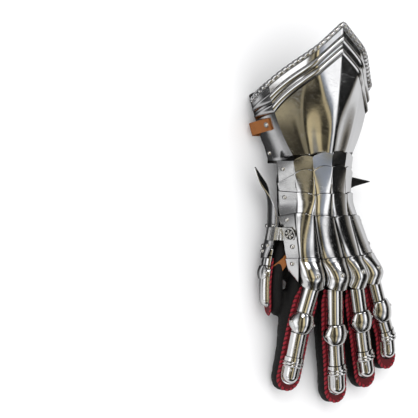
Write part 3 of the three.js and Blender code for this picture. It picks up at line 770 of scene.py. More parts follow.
# ---------------------------------------------------------------- hand shell
@dataclass
class HandShell:
    """The folded surface over the back of the hand that the lames and hand plates follow."""

    keys: tuple[float, ...] = (55, 15, -3, -45, -78)
    folds: tuple[tuple[float, ...], ...] = (
        (-41, 36, -33, 54, -18.7, 65, 0, 70, 18.7, 65, 33, 54, 41, 36, 0, 0, 0, 0),
        (-38, 34, -28, 52, -14, 63, 2, 66, 22, 60, 37, 48, 46, 30, 1.8, 1.8, 1.8, 1.4),
        (-37, 33, -29.5, 52, -15, 62, 5, 64, 27, 58, 45.5, 46, 55, 28, 3.4, 3.4, 3.2, 2.8),
        (-28, 32, -21, 44, 2, 46, 29.5, 45.5, 52.5, 40.5, 75, 29.5, 83, 18, 5, 6.5, 6, 5.5),
        (-20, 28, -17.5, 38, 9.5, 43, 35, 44, 60, 40, 83, 30, 86, 20, 12, 12, 11, 11),
    )

    def xz(self, s: float, y: float) -> tuple[float, float]:
        """Returns x and z at fold position s from 0 to 6 and height y."""
        row = at_height(self.keys, self.folds, y)
        i = int(clamp(math.floor(s), 0, 5))
        t = s - i
        ax, az, bx, bz = row[2 * i], row[2 * i + 1], row[2 * i + 2], row[2 * i + 3]
        x, z = lerp(ax, bx, t), lerp(az, bz, t)
        if 1 <= i <= 4:
            h = row[13 + i] * math.sqrt(max(0.0, 1 - (2 * t - 1) ** 2))
            dx, dz = bx - ax, bz - az
            reach = math.hypot(dx, dz)
            x -= dz / reach * h
            z += dx / reach * h
        return x, z

    def way(self, s: float, y: float) -> tuple[float, float]:
        """Returns the outward way in x and z, eased over the folds."""
        x0, z0 = self.xz(clamp(s - 0.4, 0, 6), y)
        x1, z1 = self.xz(clamp(s + 0.4, 0, 6), y)
        reach = math.hypot(x1 - x0, z1 - z0)
        return -(z1 - z0) / reach, (x1 - x0) / reach

    def point(self, s: float, y: float, out: float = 0.0) -> Vector:
        """Returns the point a distance out from the shell."""
        x, z = self.xz(s, y)
        nx, nz = self.way(s, y)
        return Vector((x + nx * out, y, z + nz * out))


@dataclass
class ShellPlate:
    """One plate over the hand shell, lapped under the next one."""

    name: str
    tops: tuple[float, ...]
    following: tuple[float, ...] | None
    scallop: float
    shell: HandShell
    per_fold: int = 14
    down: int = 26
    lap: float = 5.0
    step_out: float = 2.8
    drop: float = 2.0
    end: tuple[float, ...] | None = None
    arcs: tuple[float, ...] = (0, 0, 0, 0, 0, 0)
    dome: float = 0.0
    grooved: bool = False
    cover: "ShellPlate | None" = None

    def top(self, s: float) -> float:
        """Returns the height of the upper edge."""
        wave = math.sin(math.pi * (s % 1)) if 1 <= s <= 5 else 0.0
        return along(self.tops, s) + self.scallop * wave

    def bottom(self, s: float) -> float:
        """Returns the height of the lower edge."""
        if self.end is None:
            return along(self.following, s) - self.lap
        t = 2 * (s % 1) - 1 if s < 6 else 1.0
        return along(self.end, s) - self.arcs[int(clamp(math.floor(s), 0, 5))] * math.sqrt(max(0.0, 1 - t * t))

    def stand_off(self, s: float, y: float) -> float:
        """Returns how far the plate stands off the shell."""
        if self.end is None:
            length = self.top(s) - along(self.following, s)
        else:
            length = 26.0
        out = self.step_out - self.drop * (self.top(s) - y) / length
        if self.end is None:
            return out
        share = (self.top(s) - y) / (self.top(s) - self.bottom(s))
        across = math.sqrt(max(0.0, 1 - (2 * (s % 1) - 1) ** 2)) if 1 <= s <= 5 else 0.0
        bulge = self.dome * math.sin(
            math.pi * clamp((share - 0.1) / 0.9)
        ) - 0.5 * self.dome * smooth((share - 0.6) / 0.4)
        return max(out, 0.8) + across * bulge

    def seam(self, s: float, y: float) -> float:
        """Returns the distance to the nearest lap or groove, where painted shade darkens the steel."""
        near = 99.0
        if self.cover:
            near = max(0.0, y - self.cover.top(s))
        if self.grooved and 0.5 < s < 5.5:
            near = min(near, abs(s - round(s)) * 17 + 0.25)
        return near

    def point(self, s: float, y: float, out: float = 0.0) -> Vector:
        """Returns the point a distance out from the plate's face."""
        return self.shell.point(s, y, self.stand_off(s, y) + out)

    def way(self, s: float, y: float) -> Vector:
        """Returns the plate's outward way."""
        across = self.point(s + 0.12, y) - self.point(s - 0.12, y)
        down = self.point(s, y - 1.5) - self.point(s, y + 1.5)
        return down.cross(across).normalized()

    def build(self, bench: Bench) -> bpy.types.Object:
        """Models and dresses the plate."""

        def where(u: float, v: float) -> tuple[float, float]:
            """Returns fold position and height, with columns drawn close at the folds."""
            i = min(5, int(u * 6 + 1e-6))
            t = u * 6 - i
            eased = (1 - math.cos(math.pi * clamp(t))) / 2 if 1 <= i <= 4 else t
            s = clamp(i + eased, 0, 6)
            return s, lerp(self.top(s), self.bottom(s), v)

        obj = bench.sheet(
            self.name + "_form", 6 * self.per_fold, self.down, lambda u, v: self.point(*where(u, v)),
            Vector((0, 0, 1)), lambda u, v: self.seam(*where(u, v))
        )
        return bench.plate(obj, self.name, 1.1, 24)


@dataclass
class HandPlates:
    """The wrist lames, the fluted hand plate and the knuckle plate with their rivets."""

    shell: HandShell = field(default_factory=HandShell)
    lame_1: tuple[float, ...] = (52, 52, 56, 58.5, 58.5, 56, 53)
    lame_2: tuple[float, ...] = (30, 39, 42, 45.5, 45, 41, 34)
    lame_3: tuple[float, ...] = (22, 20.5, 17.5, 19, 19, 20, 21)
    hand: tuple[float, ...] = (-3, 0, -3, -4.5, -3, -3, 0)
    knuckle: tuple[float, ...] = (-45, -45, -46.5, -45, -43, -39.5, -36)
    knuckle_end: tuple[float, ...] = (-57, -69, -70.5, -70.5, -68, -63, -53)
    knuckle_arcs: tuple[float, ...] = (0, 7, 7, 6.5, 5.5, 0)

    def __post_init__(self) -> None:
        """Lists the plates from the wrist to the knuckles."""
        shell = self.shell
        self.plates = {
            "wrist_lame_1": ShellPlate("wrist_lame_1", self.lame_1, self.lame_2, 3.0, shell),
            "wrist_lame_2": ShellPlate("wrist_lame_2", self.lame_2, self.lame_3, 3.0, shell),
            "wrist_lame_3": ShellPlate("wrist_lame_3", self.lame_3, self.hand, 1.5, shell),
            "hand_plate": ShellPlate("hand_plate", self.hand, self.knuckle, 1.5, shell, down=40, grooved=True),
            "knuckle_plate": ShellPlate(
                "knuckle_plate", self.knuckle, None, 1.5, shell, per_fold=18, down=36, end=self.knuckle_end,
                arcs=self.knuckle_arcs, dome=5.0, grooved=True
            ),
        }
        order = list(self.plates.values())
        for plate, cover in zip(order, order[1:]):
            plate.cover = cover

    def build(self, bench: Bench) -> None:
        """Models the plates, their rivets and the thumb hinge."""
        for plate in self.plates.values():
            plate.build(bench)
        sides = {
            "wrist": ("wrist_lame_1", (0.35, 44), (5.65, 46)),
            "lame": ("wrist_lame_3", (0.35, 16), (5.65, 14)),
            "hand": ("hand_plate", (0.5, -6.5), (5.5, -7)),
            "knuckle": ("knuckle_plate", (0.5, -50), (5.5, -44)),
        }
        for label, (name, thumb, outer) in sides.items():
            plate = self.plates[name]
            for side, (s, y) in (("thumb_side", thumb), ("outer_side", outer)):
                node = f"rivet_{label}_{side}"
                bench.rivets(node + "_head", [(plate.point(s, y, 0.35), plate.way(s, y))], 2.3, 1.7, (node,))
        hand, knuckle = self.plates["hand_plate"], self.plates["knuckle_plate"]
        extra = [(hand, 0.62, -33.0), (hand, 5.5, -30.0)]
        extra += [(knuckle, i + 0.5, y) for i, y in ((1, -62.5), (2, -61.5), (3, -58.0), (4, -54.0))]
        bench.rivets("knuckle_rivets", [(p.point(s, y, 0.3), p.way(s, y)) for p, s, y in extra], 2.5, 1.9)
        self.hinge(bench, hand)

    def hinge(self, bench: Bench, hand: ShellPlate) -> None:
        """Models the hinge strap over the hand plate's edge and the rosette it turns from."""

        def line(y: float) -> list[Vector]:
            """Returns the strap's run at height y."""
            first = [hand.point(s, y) + hand.way(s, y) * out for s, out in ((0.8, 1.5), (0.5, 1.5), (0.2, 1.7))]
            x = -42.6 + 0.2 * (y + 13.5)
            return first + [
                Vector((a, y, b)) for a, b in ((x + 2.3, 37.8), (x - 1.2, 36.8), (x - 2.7, 32.5), (x - 3.3, 27))
            ]

        def place(u: float, v: float) -> Vector:
            """Returns the strap's point, with two lines sunk across it."""
            y = lerp(-13.5, -26.5, v)
            points = line(y)
            s = u * (len(points) - 1)
            i = min(len(points) - 2, int(s))
            dip = sum(math.exp(-(((u - c) / 0.012) ** 2)) for c in (0.36, 0.44, 0.86))
            return points[i].lerp(points[i + 1], s - i) - Vector((-0.5, 0, 0.8)) * 0.45 * dip

        strap = bench.sheet("thumb_hinge_form", 90, 20, place, Vector((-0.6, 0, 0.8)))
        bench.modify(strap, "SMOOTH", factor=0.5, iterations=3)
        bench.wall(strap, 1.0, 0.2)
        bench.dress(strap, Slot.STEEL, (bench.finish.etched, bench.finish.inside), ("thumb_hinge",))
        centre, way = hand.point(0.62, -20), hand.way(0.62, -20)
        self.rosette(bench, centre + way * 1.7, way)

    @staticmethod
    def rosette(bench: Bench, centre: Vector, way: Vector) -> None:
        """Models a round boss with a rim, six petals and a domed middle."""
        bench.clear()
        bpy.ops.mesh.primitive_cylinder_add(vertices=48, radius=6.4 * MM, depth=1.0 * MM)
        disc = bpy.context.active_object
        bpy.ops.object.mode_set(mode="EDIT")
        bpy.ops.mesh.select_mode(type="FACE")
        bpy.ops.mesh.select_all(action="DESELECT")
        bpy.ops.object.mode_set(mode="OBJECT")
        for face in disc.data.polygons:
            face.select = face.normal.z > 0.9
        bpy.ops.object.mode_set(mode="EDIT")
        bpy.ops.mesh.inset(thickness=1.0 * MM)
        bpy.ops.mesh.extrude_region_move(TRANSFORM_OT_translate={"value": (0, 0, -0.25 * MM)})
        bpy.ops.object.mode_set(mode="OBJECT")
        disc.data.materials.append(bench.finish.etched)
        disc.data.materials.append(bench.finish.inside)
        for face in disc.data.polygons:
            face.material_index = int(face.normal.z > 0.9 and face.center.xy.length < 0.0001)
        bench.modify(disc, "BEVEL", width=0.22 * MM, segments=2, limit_method="ANGLE", angle_limit=math.radians(40))
        parts = [disc]
        petal = bench.dome("petal", 1.45, 0.9)
        petal.data.materials.append(bench.finish.etched)
        petal.data.transform(Matrix.Translation((3.3 * MM, 0, 0.45 * MM)) @ Matrix.Diagonal((1.25, 0.85, 1, 1)))
        for k in range(6):
            one = bench.copy(petal)
            one.data.transform(Matrix.Rotation(math.radians(60 * k), 4, "Z"))
            parts.append(one)
        bench.drop(petal)
        middle = bench.dome("middle", 1.6, 1.7)
        middle.data.materials.append(bench.finish.etched)
        parts.append(middle)
        boss = bench.join(parts, "hinge_rosette")
        bench.stand(boss, centre, way)
        bench.dress(boss, Slot.STEEL, (bench.finish.etched, bench.finish.inside), (), 38)


# ---------------------------------------------------------------- cuff
@dataclass
class Cuff:
    """The pointed gable cuff with its roped rim, under plate and strap."""

    wrist_y: float = 55.0
    end_y: float = 50.0
    apex_y: float = 190.0
    edge_z: float = 15.0
    thickness: float = 1.1
    beads: tuple[float, float] = (14.0, 23.0)
    bead_half: float = 3.4
    bead_height: float = 2.1
    rim_radius: float = 2.7
    rim_pitch: float = 6.6
    strap_thickness: float = 1.8

    def past(self, y: float) -> float:
        """Returns the distance past the wrist."""
        return max(0.0, y - self.wrist_y)

    def ridge_z(self, y: float) -> float:
        """Returns the height of the ridge."""
        return 70 + 0.28 * self.past(y) - 0.0009 * self.past(y) ** 2

    def crease_x(self, y: float) -> float:
        """Returns the half width at the creases."""
        return 33 + 0.62 * self.past(y) - 0.0036 * self.past(y) ** 2

    def crease_z(self, y: float) -> float:
        """Returns the height of the creases."""
        return 54 - 0.08 * self.past(y)

    def edge_x(self, y: float) -> float:
        """Returns the half width at the lower edges."""
        return 40 + 0.33 * self.past(y)

    def wall_x(self, y: float, z: float) -> float:
        """Returns the half width of the flat side at a height, before its swell."""
        return lerp(self.crease_x(y), self.edge_x(y), (self.crease_z(y) - z) / (self.crease_z(y) - self.edge_z))

    @staticmethod
    def fall(a: float, past: float) -> float:
        """Returns the share of the way from ridge to crease that the gable has come down.

        Args:
            a: share of the way across, from ridge to crease.
            past: distance past the wrist.

        Returns:
            The share down: slow beside the ridge, then steeper.
        """
        flat = clamp((past - 22) * 0.0067, 0.02, 0.45)
        soft = lerp(0.12, 0.05, smooth(past / 90))

        def bend(t: float) -> float:
            """Returns the softened distance past the flat."""
            return math.hypot(t - flat, soft) + t - flat

        flute = 0.022 * math.sin(2 * math.pi * (a - 0.17) / 0.5) * smooth(a / 0.08) * (1 - smooth((a - 0.62) / 0.15))
        gable = 0.17 * a + 0.65 * (bend(a) - bend(0)) / (bend(1) - bend(0)) + 0.18 * max(0.0, a - 0.58) / 0.42
        return gable + flute * (1 - smooth((past - 15) / 55))

    def xz(self, u: float, y: float) -> tuple[float, float]:
        """Returns x and z at share u from -1 to 1 across the cuff."""
        a, side = abs(u) * 2, (1 if u >= 0 else -1)
        if a <= 1:
            g = self.fall(a, self.past(y))
            return side * a * self.crease_x(y), lerp(self.ridge_z(y), self.crease_z(y), g)
        z = lerp(self.crease_z(y), self.edge_z, a - 1)
        return side * (self.wall_x(y, z) + 1.2 * math.sin(math.pi * (a - 1))), z

    def rim_y(self, u: float) -> float:
        """Returns the height of the rim."""
        a = abs(u) * 2
        return self.apex_y - 48 * a - 10.5 * a * a if a <= 1 else 131.5 - 17.5 * (a - 1)

    @staticmethod
    def rim_slope(u: float) -> float:
        """Returns how much longer a step along Y is than one square to the rim."""
        a = abs(u) * 2
        return lerp(1.3, 1.2, a) if a <= 1 else lerp(1.2, 0.78, a - 1)

    def point(self, u: float, y: float, out: float = 0.0) -> Vector:
        """Returns the point a distance out from the cuff."""
        x, z = self.xz(u, y)
        x0, z0 = self.xz(clamp(u - 0.02, -1, 1), y)
        x1, z1 = self.xz(clamp(u + 0.02, -1, 1), y)
        reach = math.hypot(x1 - x0, z1 - z0)
        return Vector((x - (z1 - z0) / reach * out, y, z + (x1 - x0) / reach * out))

    def lift(self, w: float) -> float:
        """Returns the height of the raised beads at a distance from the rim."""
        height = 0.0
        for bead in self.beads:
            k = abs(w - bead) / self.bead_half
            if k < 1:
                height = self.bead_height * (1 - k**2)
        return height

    def build(self, bench: Bench, cover: ShellPlate) -> None:
        """Models the cuff's plates, rim, strap and rivets, lapped by the first lame, with painted shade along that
        lap.
        """
        self.plate(bench, cover)
        self.rim(bench)
        self.under(bench)
        self.strap(bench)

    def plate(self, bench: Bench, cover: ShellPlate) -> None:
        """Models the gable plate with its two raised beads, and painted shade along the lame, the rope and the beads'
        feet.
        """
        near, last = 0.56, 28.0

        def where(u: float, v: float) -> tuple[float, float, float]:
            """Returns share across, height, and distance from the rim."""
            a = 2 * u - 1
            top = self.rim_y(a)
            if v <= near:
                w = v / near * last
                return a, top - w * self.rim_slope(a), w
            return a, lerp(top - last * self.rim_slope(a), self.end_y, (v - near) / (1 - near)), last

        def place(u: float, v: float) -> Vector:
            """Returns the plate's point."""
            a, y, w = where(u, v)
            return self.point(a, y, self.lift(w))

        def seam(u: float, v: float) -> float:
            """Returns the distance to the lame, the rope or a bead's foot, where painted shade darkens the plate."""
            a, y, w = where(u, v)
            feet = [abs(w - bead - side * self.bead_half) + 0.35 for bead in self.beads for side in (-1, 1)]
            return min(max(0.0, y - cover.top((a + 1) * 3)), abs(w - 4.6), *feet)

        obj = bench.sheet("cuff_plate_form", 128, 150, place, Vector((0, 0, 1)), seam)
        bench.plate(obj, "cuff_plate", self.thickness, 22)

    def rim(self, bench: Bench) -> None:
        """Rolls the roped rim along the cuff's pointed mouth."""
        shares = [-1 + 2 * i / 200 for i in range(201)]
        path = [self.point(a, self.rim_y(a) - 3.0, 0.9) for a in shares]
        ups = [self.point(a, self.rim_y(a), 1.0) - self.point(a, self.rim_y(a)) for a in shares]
        rope = bench.rope("cuff_roped_rim", path, ups, self.rim_radius, self.rim_pitch, 0.38, 1.0, 16, 0.5)
        bench.dress(rope, Slot.STEEL, (bench.finish.steel,), (), 60)

    def under(self, bench: Bench) -> None:
        """Models the plain under plate."""

        def place(u: float, v: float) -> Vector:
            """Returns the plate's point."""
            k = 2 * u - 1
            a, side = abs(k), (1 if k >= 0 else -1)
            back = clamp((a - 0.55) / 0.45)
            y = lerp(50, 122 - 9 * back, v)
            floor = lerp(8, 0, smooth((y - 50) / 24))
            wide = self.wall_x(y, 24) - 2.7
            low = min(self.wall_x(y, self.edge_z) - 2.7, wide + 0.5)
            if a <= 0.6:
                return Vector((side * a / 0.6 * (low - 12), y, floor))
            t = (a - 0.6) / 0.4
            if t <= 0.75:
                turn = t / 0.75 * math.pi / 2
                return Vector((side * (low - 12 + 12 * math.sin(turn)), y, floor + 12 * (1 - math.cos(turn))))
            k = (t - 0.75) / 0.25
            return Vector((side * lerp(low, wide, k), y, lerp(floor + 12, 24, k)))

        obj = bench.sheet("cuff_under_form", 60, 40, place, Vector((0, 0, -1)))
        bench.plate(obj, "cuff_under_plate", self.thickness)

    def strap(self, bench: Bench) -> None:
        """Models the tan strap over the thumb side wall, with its rivet."""

        def run(y: float) -> list[Vector]:
            """Returns the strap's outer line at height y."""

            def wall(z: float) -> float:
                """Returns x of the side wall at height z."""
                rise = self.crease_z(y) - self.edge_z
                return -(self.wall_x(y, z) + 1.2 * math.sin(math.pi * (self.crease_z(y) - z) / rise))

            low = wall(15)
            line = [(wall(40) - 2.0, 40), (wall(34) - 2.8, 34), (wall(27) - 4.0, 26), (wall(20) - 6.3, 18)]
            line += [(low - 7.4, 11), (low - 4.2, 4.8), (low + 4.8, 2.0), (low + 6.2, 1.0)]
            return [Vector((x, y, z)) for x, z in line]

        def place(u: float, v: float) -> Vector:
            """Returns the strap's point."""
            y = lerp(lerp(94, 82, v), lerp(89.5, 77, v), smooth(u * 1.4))
            points = run(y)
            i = min(6, int(u * 7))
            return points[i].lerp(points[i + 1], u * 7 - i)

        obj = bench.sheet("cuff_strap_form", 56, 18, place, Vector((-1, 0, 0)))
        bench.modify(obj, "SMOOTH", factor=0.5, iterations=4)
        bench.wall(obj, self.strap_thickness, 0.4, 50)
        bench.dress(obj, Slot.TAN, (bench.finish.tan, bench.finish.tan), ("cuff_strap",), 40)
        head = run(88.0)[0].lerp(run(88.0)[1], 0.75)
        bench.rivets("cuff_strap_rivet", [(head + Vector((-0.1, 0, 0)), Vector((-1, 0, 0.25)))], 3.0, 2.2)
        bench.rivets(
            "cuff_corner_rivets", [(self.point(s * 0.93, 60.0, 0.2), Vector((s, 0, 0.1))) for s in (-1, 1)], 2.3,
            1.7
        )


# ---------------------------------------------------------------- fingers
@dataclass
class Digit:
    """What a finger and the thumb share: a centre line of plates on a red leather strip."""

    name: str
    bench: Bench

    def frame(self, y: float) -> Frame:
        """Returns the plates' frame at height y."""
        raise NotImplementedError

    def half_tube(
        self, part: str, y0: float, y1: float, radius: Callable[[float, float], float], down: int = 24,
        across: int = 36, push: Callable[[float, float], float] | None = None, laps: Sequence[float] = ()
    ) -> bpy.types.Object:
        """Models a half-round plate.

        Args:
            part: the piece's name after the finger's.
            y0: its upper end.
            y1: its lower end.
            radius: its radius at share v down and an angle from its crest.
            down: faces down.
            across: faces across.
            push: how far a point moves along the finger.
            laps: heights at which another plate's edge lies over this one, where painted shade darkens this plate.

        Returns:
            The finished plate.
        """

        def place(u: float, v: float) -> Vector:
            """Returns the plate's point."""
            a = math.radians(lerp(-90, 90, u))
            r = radius(v, a)
            return self.frame(lerp(y0, y1, v)).at(r * math.sin(a), r * math.cos(a), push(v, a) if push else 0.0)

        middle = self.frame((y0 + y1) / 2)
        seam = (lambda u, v: min(abs(lerp(y0, y1, v) - lap) for lap in laps)) if laps else None
        obj = self.bench.sheet(f"{self.name}_{part}_form", across, down, place, lambda c: c - middle.c, seam)
        return self.bench.plate(obj, f"{self.name}_{part}", 1.0, 30)

    def tip(self, y0: float, y1: float, half: float, rise: float, lip: float) -> None:
        """Models the end plate: a long thimble half with a flared lip.

        Args:
            y0: its upper end.
            y1: its rounded end.
            half: half its width.
            rise: its height.
            lip: width of the flat lip.
        """
        straight = abs(y1 - y0) - half - lip
        share = 0.5

        def place(u: float, v: float) -> Vector:
            """Returns the plate's point."""
            k = 2 * u - 1
            edge = clamp((abs(k) - 0.86) / 0.14)
            a = clamp(k / 0.86, -1, 1) * math.pi / 2
            if v <= share:
                turn, y = 0.0, y0 - straight * v / share
            else:
                turn, y = (v - share) / (1 - share) * math.pi / 2, y0 - straight
            f = self.frame(y)
            reach = math.cos(turn)
            side = half * reach * math.sin(a) + math.copysign(lip * edge * reach, a)
            height = rise * max(0.0, math.cos(a)) * reach ** 0.85 if reach > 1e-6 else 0.0
            ahead = math.sin(turn) * (half * (1 - 0.0 * edge) + lip * edge)
            return f.at(side, height + 0.15 + 0.2 * edge, ahead)

        middle = self.frame((y0 + y1) / 2)
        obj = self.bench.sheet(f"{self.name}_tip_plate_form", 44, 40, place, lambda c: c - middle.c)
        bpy.ops.object.mode_set(mode="EDIT")
        bpy.ops.mesh.select_all(action="SELECT")
        bpy.ops.mesh.remove_doubles(threshold=2e-6)
        bpy.ops.object.mode_set(mode="OBJECT")
        self.bench.plate(obj, f"{self.name}_tip_plate", 0.9, 34)

    def strip(
        self, outline: Callable[[float], tuple[float, float]], low: float, bow: float, thickness: float,
        braid: float
    ) -> None:
        """Models the red leather strip with its braided edge.

        Args:
            outline: half width and height y at share v.
            low: how far the strip's middle lies under the plates' edges.
            bow: how much further its edges lie.
            thickness: millimetres.
            braid: radius of the braided edge.
        """

        def point(k: float, v: float, out: float = 0.0) -> Vector:
            """Returns the strip's point at share k across and v down."""
            half, y = outline(v)
            return self.frame(y).at(k * half, out - low - bow * k * k)

        obj = self.bench.sheet(
            f"{self.name}_leather_form", 14, 70, lambda u, v: point(2 * u - 1, v), self.frame(outline(0.5)[1]).n
        )
        self.bench.wall(obj, thickness, 0.2)
        self.bench.dress(obj, Slot.RED, (self.bench.finish.red, self.bench.finish.red), (f"{self.name}_leather",), 40)
        count = 160
        left = [point(-0.93, i / count, -thickness * 0.2) for i in range(count + 1)]
        right = [point(0.93, i / count, -thickness * 0.2) for i in range(count, -1, -1)]
        ups = [self.frame(outline(i / count)[1]).n for i in range(count + 1)]
        path, ways = left + right[1:], ups + ups[::-1][1:]
        cord = self.bench.rope(f"{self.name}_braided_edge", path, ways, braid, 4.8, 0.34, 0.6, 12, 0.6)
        self.bench.dress(cord, Slot.RED, (self.bench.finish.braid,), (), 70)


@dataclass
class Finger(Digit):
    """One finger: five plates on a leather strip."""

    points: tuple[tuple[float, float, float], ...]
    tilt: float
    size: float = 1.0
    radius: float = 9.2
    cup: float = 12.4
    band: float = 10.7

    def __post_init__(self) -> None:
        """Lays out the centre line."""
        self.line = CentreLine(self.points)
        self.root, self.pip, self.dip, self.end, self.toe = (p[1] for p in self.points)
        lean = math.radians(self.tilt)
        self.up = Vector((math.sin(lean), 0, math.cos(lean)))

    def frame(self, y: float) -> Frame:
        """Returns the plates' frame at height y."""
        return self.line.frame(y, self.up)

    def cup_radius(self, v: float, a: float) -> float:
        """Returns the radius of the knuckle cup: a dome with a ridge out to each side."""
        dome = math.sin(math.pi * v) ** 0.7
        side = abs(a) / (math.pi / 2)
        ridge = 1.2 * (1 - abs(2 * v - 1)) * smooth((side - 0.35) / 0.5)
        return (self.band - 0.3 + (self.cup - self.band + 1.2) * dome * (1 - 0.35 * side) + ridge) * self.size

    def band_radius(self, v: float, _: float) -> float:
        """Returns the radius of the joint band: a plain collar and two raised lines."""
        line = sum(math.exp(-(((v - c) / 0.075) ** 2)) for c in (0.52, 0.82))
        return (self.band - 0.5 + 1.0 * line) * self.size

    def build(self) -> None:
        """Models the finger's plates, strip and rivets."""
        r = self.radius * self.size
        root, pip, dip = self.root, self.pip, self.dip

        def plain(v: float, _: float) -> float:
            """Returns the radius of a plain plate with slightly turned ends."""
            return r + 0.25 * (smooth(1 - v / 0.05) + smooth((v - 0.95) / 0.05))

        self.half_tube("proximal_plate", root - 3, pip + 4, plain, laps=(root - 3, pip + 9.5))
        self.half_tube(
            "knuckle_cup", pip + 9.5, pip - 9.5, self.cup_radius, 36, 48, lambda v,
            a: (0.5 - v) * 9 * smooth((abs(a) - 0.7) / 0.8) * 0.6
        )
        self.half_tube("middle_plate", pip - 4, dip + 1.5, lambda v, a: plain(v, a) - 0.1, laps=(pip - 9.5, dip + 5))
        self.half_tube(
            "joint_band", dip + 5, dip - 5, self.band_radius, 40, 36, lambda v,
            a: -0.9 * math.exp(-(((v - 0.67) / 0.2) ** 2)) * smooth((abs(a) - 1.1) / 0.45)
        )
        self.tip(dip - 2, self.end, r - 0.6, r - 0.2, 1.3)
        self.leather()
        self.rivets()

    def leather(self) -> None:
        """Models the red strip."""
        wide = 11.4 if self.name == "little" else 12.2
        end = self.toe + 2.6
        turn = end + wide

        def outline(v: float) -> tuple[float, float]:
            """Returns half width and height at share v."""
            if v < 0.7:
                y = lerp(self.root - 4, turn, v / 0.7)
                return lerp(9.3, wide, smooth((self.root - 6 - y) / 12)), y
            a = (v - 0.7) / 0.3 * math.pi / 2
            return max(0.4, wide * math.cos(a)), turn - wide * math.sin(a)

        self.strip(outline, 0.95, 1.3, 1.2, 1.9)

    def rivets(self) -> None:
        """Sets the rivets of the knuckle cup, the joint band and the end plate."""
        places = []
        for side in (-1, 1):
            a = side * 1.2
            for y, v, radius in ((self.pip, 0.5, self.cup_radius), (self.dip - 1.7, 0.67, self.band_radius)):
                f = self.frame(y)
                way = f.b * math.sin(a) + f.n * math.cos(a)
                places.append((f.c + way * (radius(v, a) - 0.1), way))
        f = self.frame(self.dip - 7.5)
        a = -0.5
        way = f.b * math.sin(a) + f.n * math.cos(a)
        places.append((f.c + way * (self.radius * self.size - 0.5), way))
        self.bench.rivets(f"{self.name}_rivets", places, 1.5, 1.2)


@dataclass
class Thumb(Digit):
    """The thumb: leaf-shaped base plate, three more plates and a leather strip, all turned to the side."""

    keys: tuple[float, ...] = (4, -16, -42, -66, -93, -102)
    points: tuple[tuple[float, float, float], ...] = (
        (-15, 4, 22), (-23.5, -16, 21.5), (-30.5, -42, 21), (-34, -66, 20), (-33.2, -93, 18.5), (-32, -102, 17.5)
    )
    backs: tuple[tuple[float, float, float], ...] = (
        (-0.9, 0, -0.26), (-0.95, 0, -0.26), (-0.966, 0, -0.26), (-0.966, 0, -0.26), (-0.966, 0, -0.26),
        (-0.966, 0, -0.26)
    )
    half: float = 8.6
    rise: float = 6.6
    out: float = 9.3

    def __post_init__(self) -> None:
        """Lays out the centre lines."""
        self.line = CentreLine(self.points)
        self.leaf = CentreLine(
            (
                (-58.5, 46, 20), (-51.5, 32, 20), (-45, 20, 20), (-42.2, 4, 20), (-42.4, -12, 20),
                (-45, -26, 19.5), (-48.6, -38, 19), (-49.6, -44, 19)
            )
        )

    def glove_frame(self, y: float) -> Frame:
        """Returns the glove's frame at height y."""
        return self.line.frame(y, Vector(at_height(self.keys, self.backs, y)).normalized())

    def frame(self, y: float) -> Frame:
        """Returns the plates' frame at height y."""
        return self.glove_frame(y).out(self.out)

    def oval(self, a: float) -> float:
        """Returns the plates' radius at an angle from their crest."""
        return 1 / math.hypot(math.sin(a) / self.half, math.cos(a) / self.rise)

    def build(self) -> None:
        """Models the thumb's plates, strip and rivets."""
        self.base()
        self.half_tube("proximal_plate", -38, -59, lambda v, a: self.oval(a), laps=(-44, -54))
        self.half_tube(
            "knuckle_cup", -54, -66, lambda v, a: self.oval(a) + 1.3 + 1.5 * math.sin(math.pi * v) ** 0.8, 30, 40,
            lambda v, a: (0.5 - v) * 5 * smooth((abs(a) - 0.7) / 0.8)
        )
        self.tip(-62, -93, self.half - 0.9, self.rise, 1.1)

        def outline(v: float) -> tuple[float, float]:
            """Returns half width and height at share v."""
            if v < 0.7:
                y = lerp(-46, -89.5, v / 0.7)
                return lerp(8.8, 9.8, smooth((-46 - y) / 10)), y
            a = (v - 0.7) / 0.3 * math.pi / 2
            return max(0.4, 9.8 * math.cos(a)), -89.5 - 9.8 * math.sin(a)

        self.strip(outline, 0.75, 0.8, 1.0, 1.6)
        places = []
        for side in (-1, 1):
            a = side * 1.15
            f = self.frame(-60)
            way = f.b * math.sin(a) + f.n * math.cos(a)
            places.append((f.c + way * (self.oval(a) + 2.5), way))
        self.bench.rivets("thumb_rivets", places, 1.5, 1.2)

    def leaf_point(self, u: float, y: float) -> Vector:
        """Returns the base plate's point at share u across."""
        ys = (-44, -36, -26, -12, 0, 14, 26, 34, 41, 46)
        halves = (10, 12.5, 13.8, 14, 13.5, 12, 9.6, 6.6, 3.6, 1.2)
        turn = smooth((y + 5) / 45)
        back = Vector((lerp(-0.966, -0.72, turn), 0, lerp(-0.26, -0.69, turn))).normalized()
        w = u * table(y, list(zip(ys, halves)))
        return self.leaf.frame(y, back).at(w, -4 * w * w / 196)

    def base(self) -> None:
        """Models the leaf-shaped plate over the thumb's root, with its rivets."""

        def place(u: float, v: float) -> Vector:
            """Returns the plate's point."""
            return self.leaf_point(2 * u - 1, lerp(46, -44, v))

        obj = self.bench.sheet("thumb_base_form", 28, 80, place, Vector((-1, 0, -0.3)))
        self.bench.modify(obj, "SMOOTH", factor=0.5, iterations=4)
        self.bench.plate(obj, "thumb_base_plate", 1.1)
        way = Vector((-0.966, 0, -0.1))
        spots = [(0.72, -12.0), (-0.7, -12.0), (0.6, -31.5), (0.0, -37.0), (-0.6, -31.5)]
        self.bench.rivets("thumb_base_rivets", [(self.leaf_point(u, y) + way * 0.2, way) for u, y in spots], 2.2, 1.7)


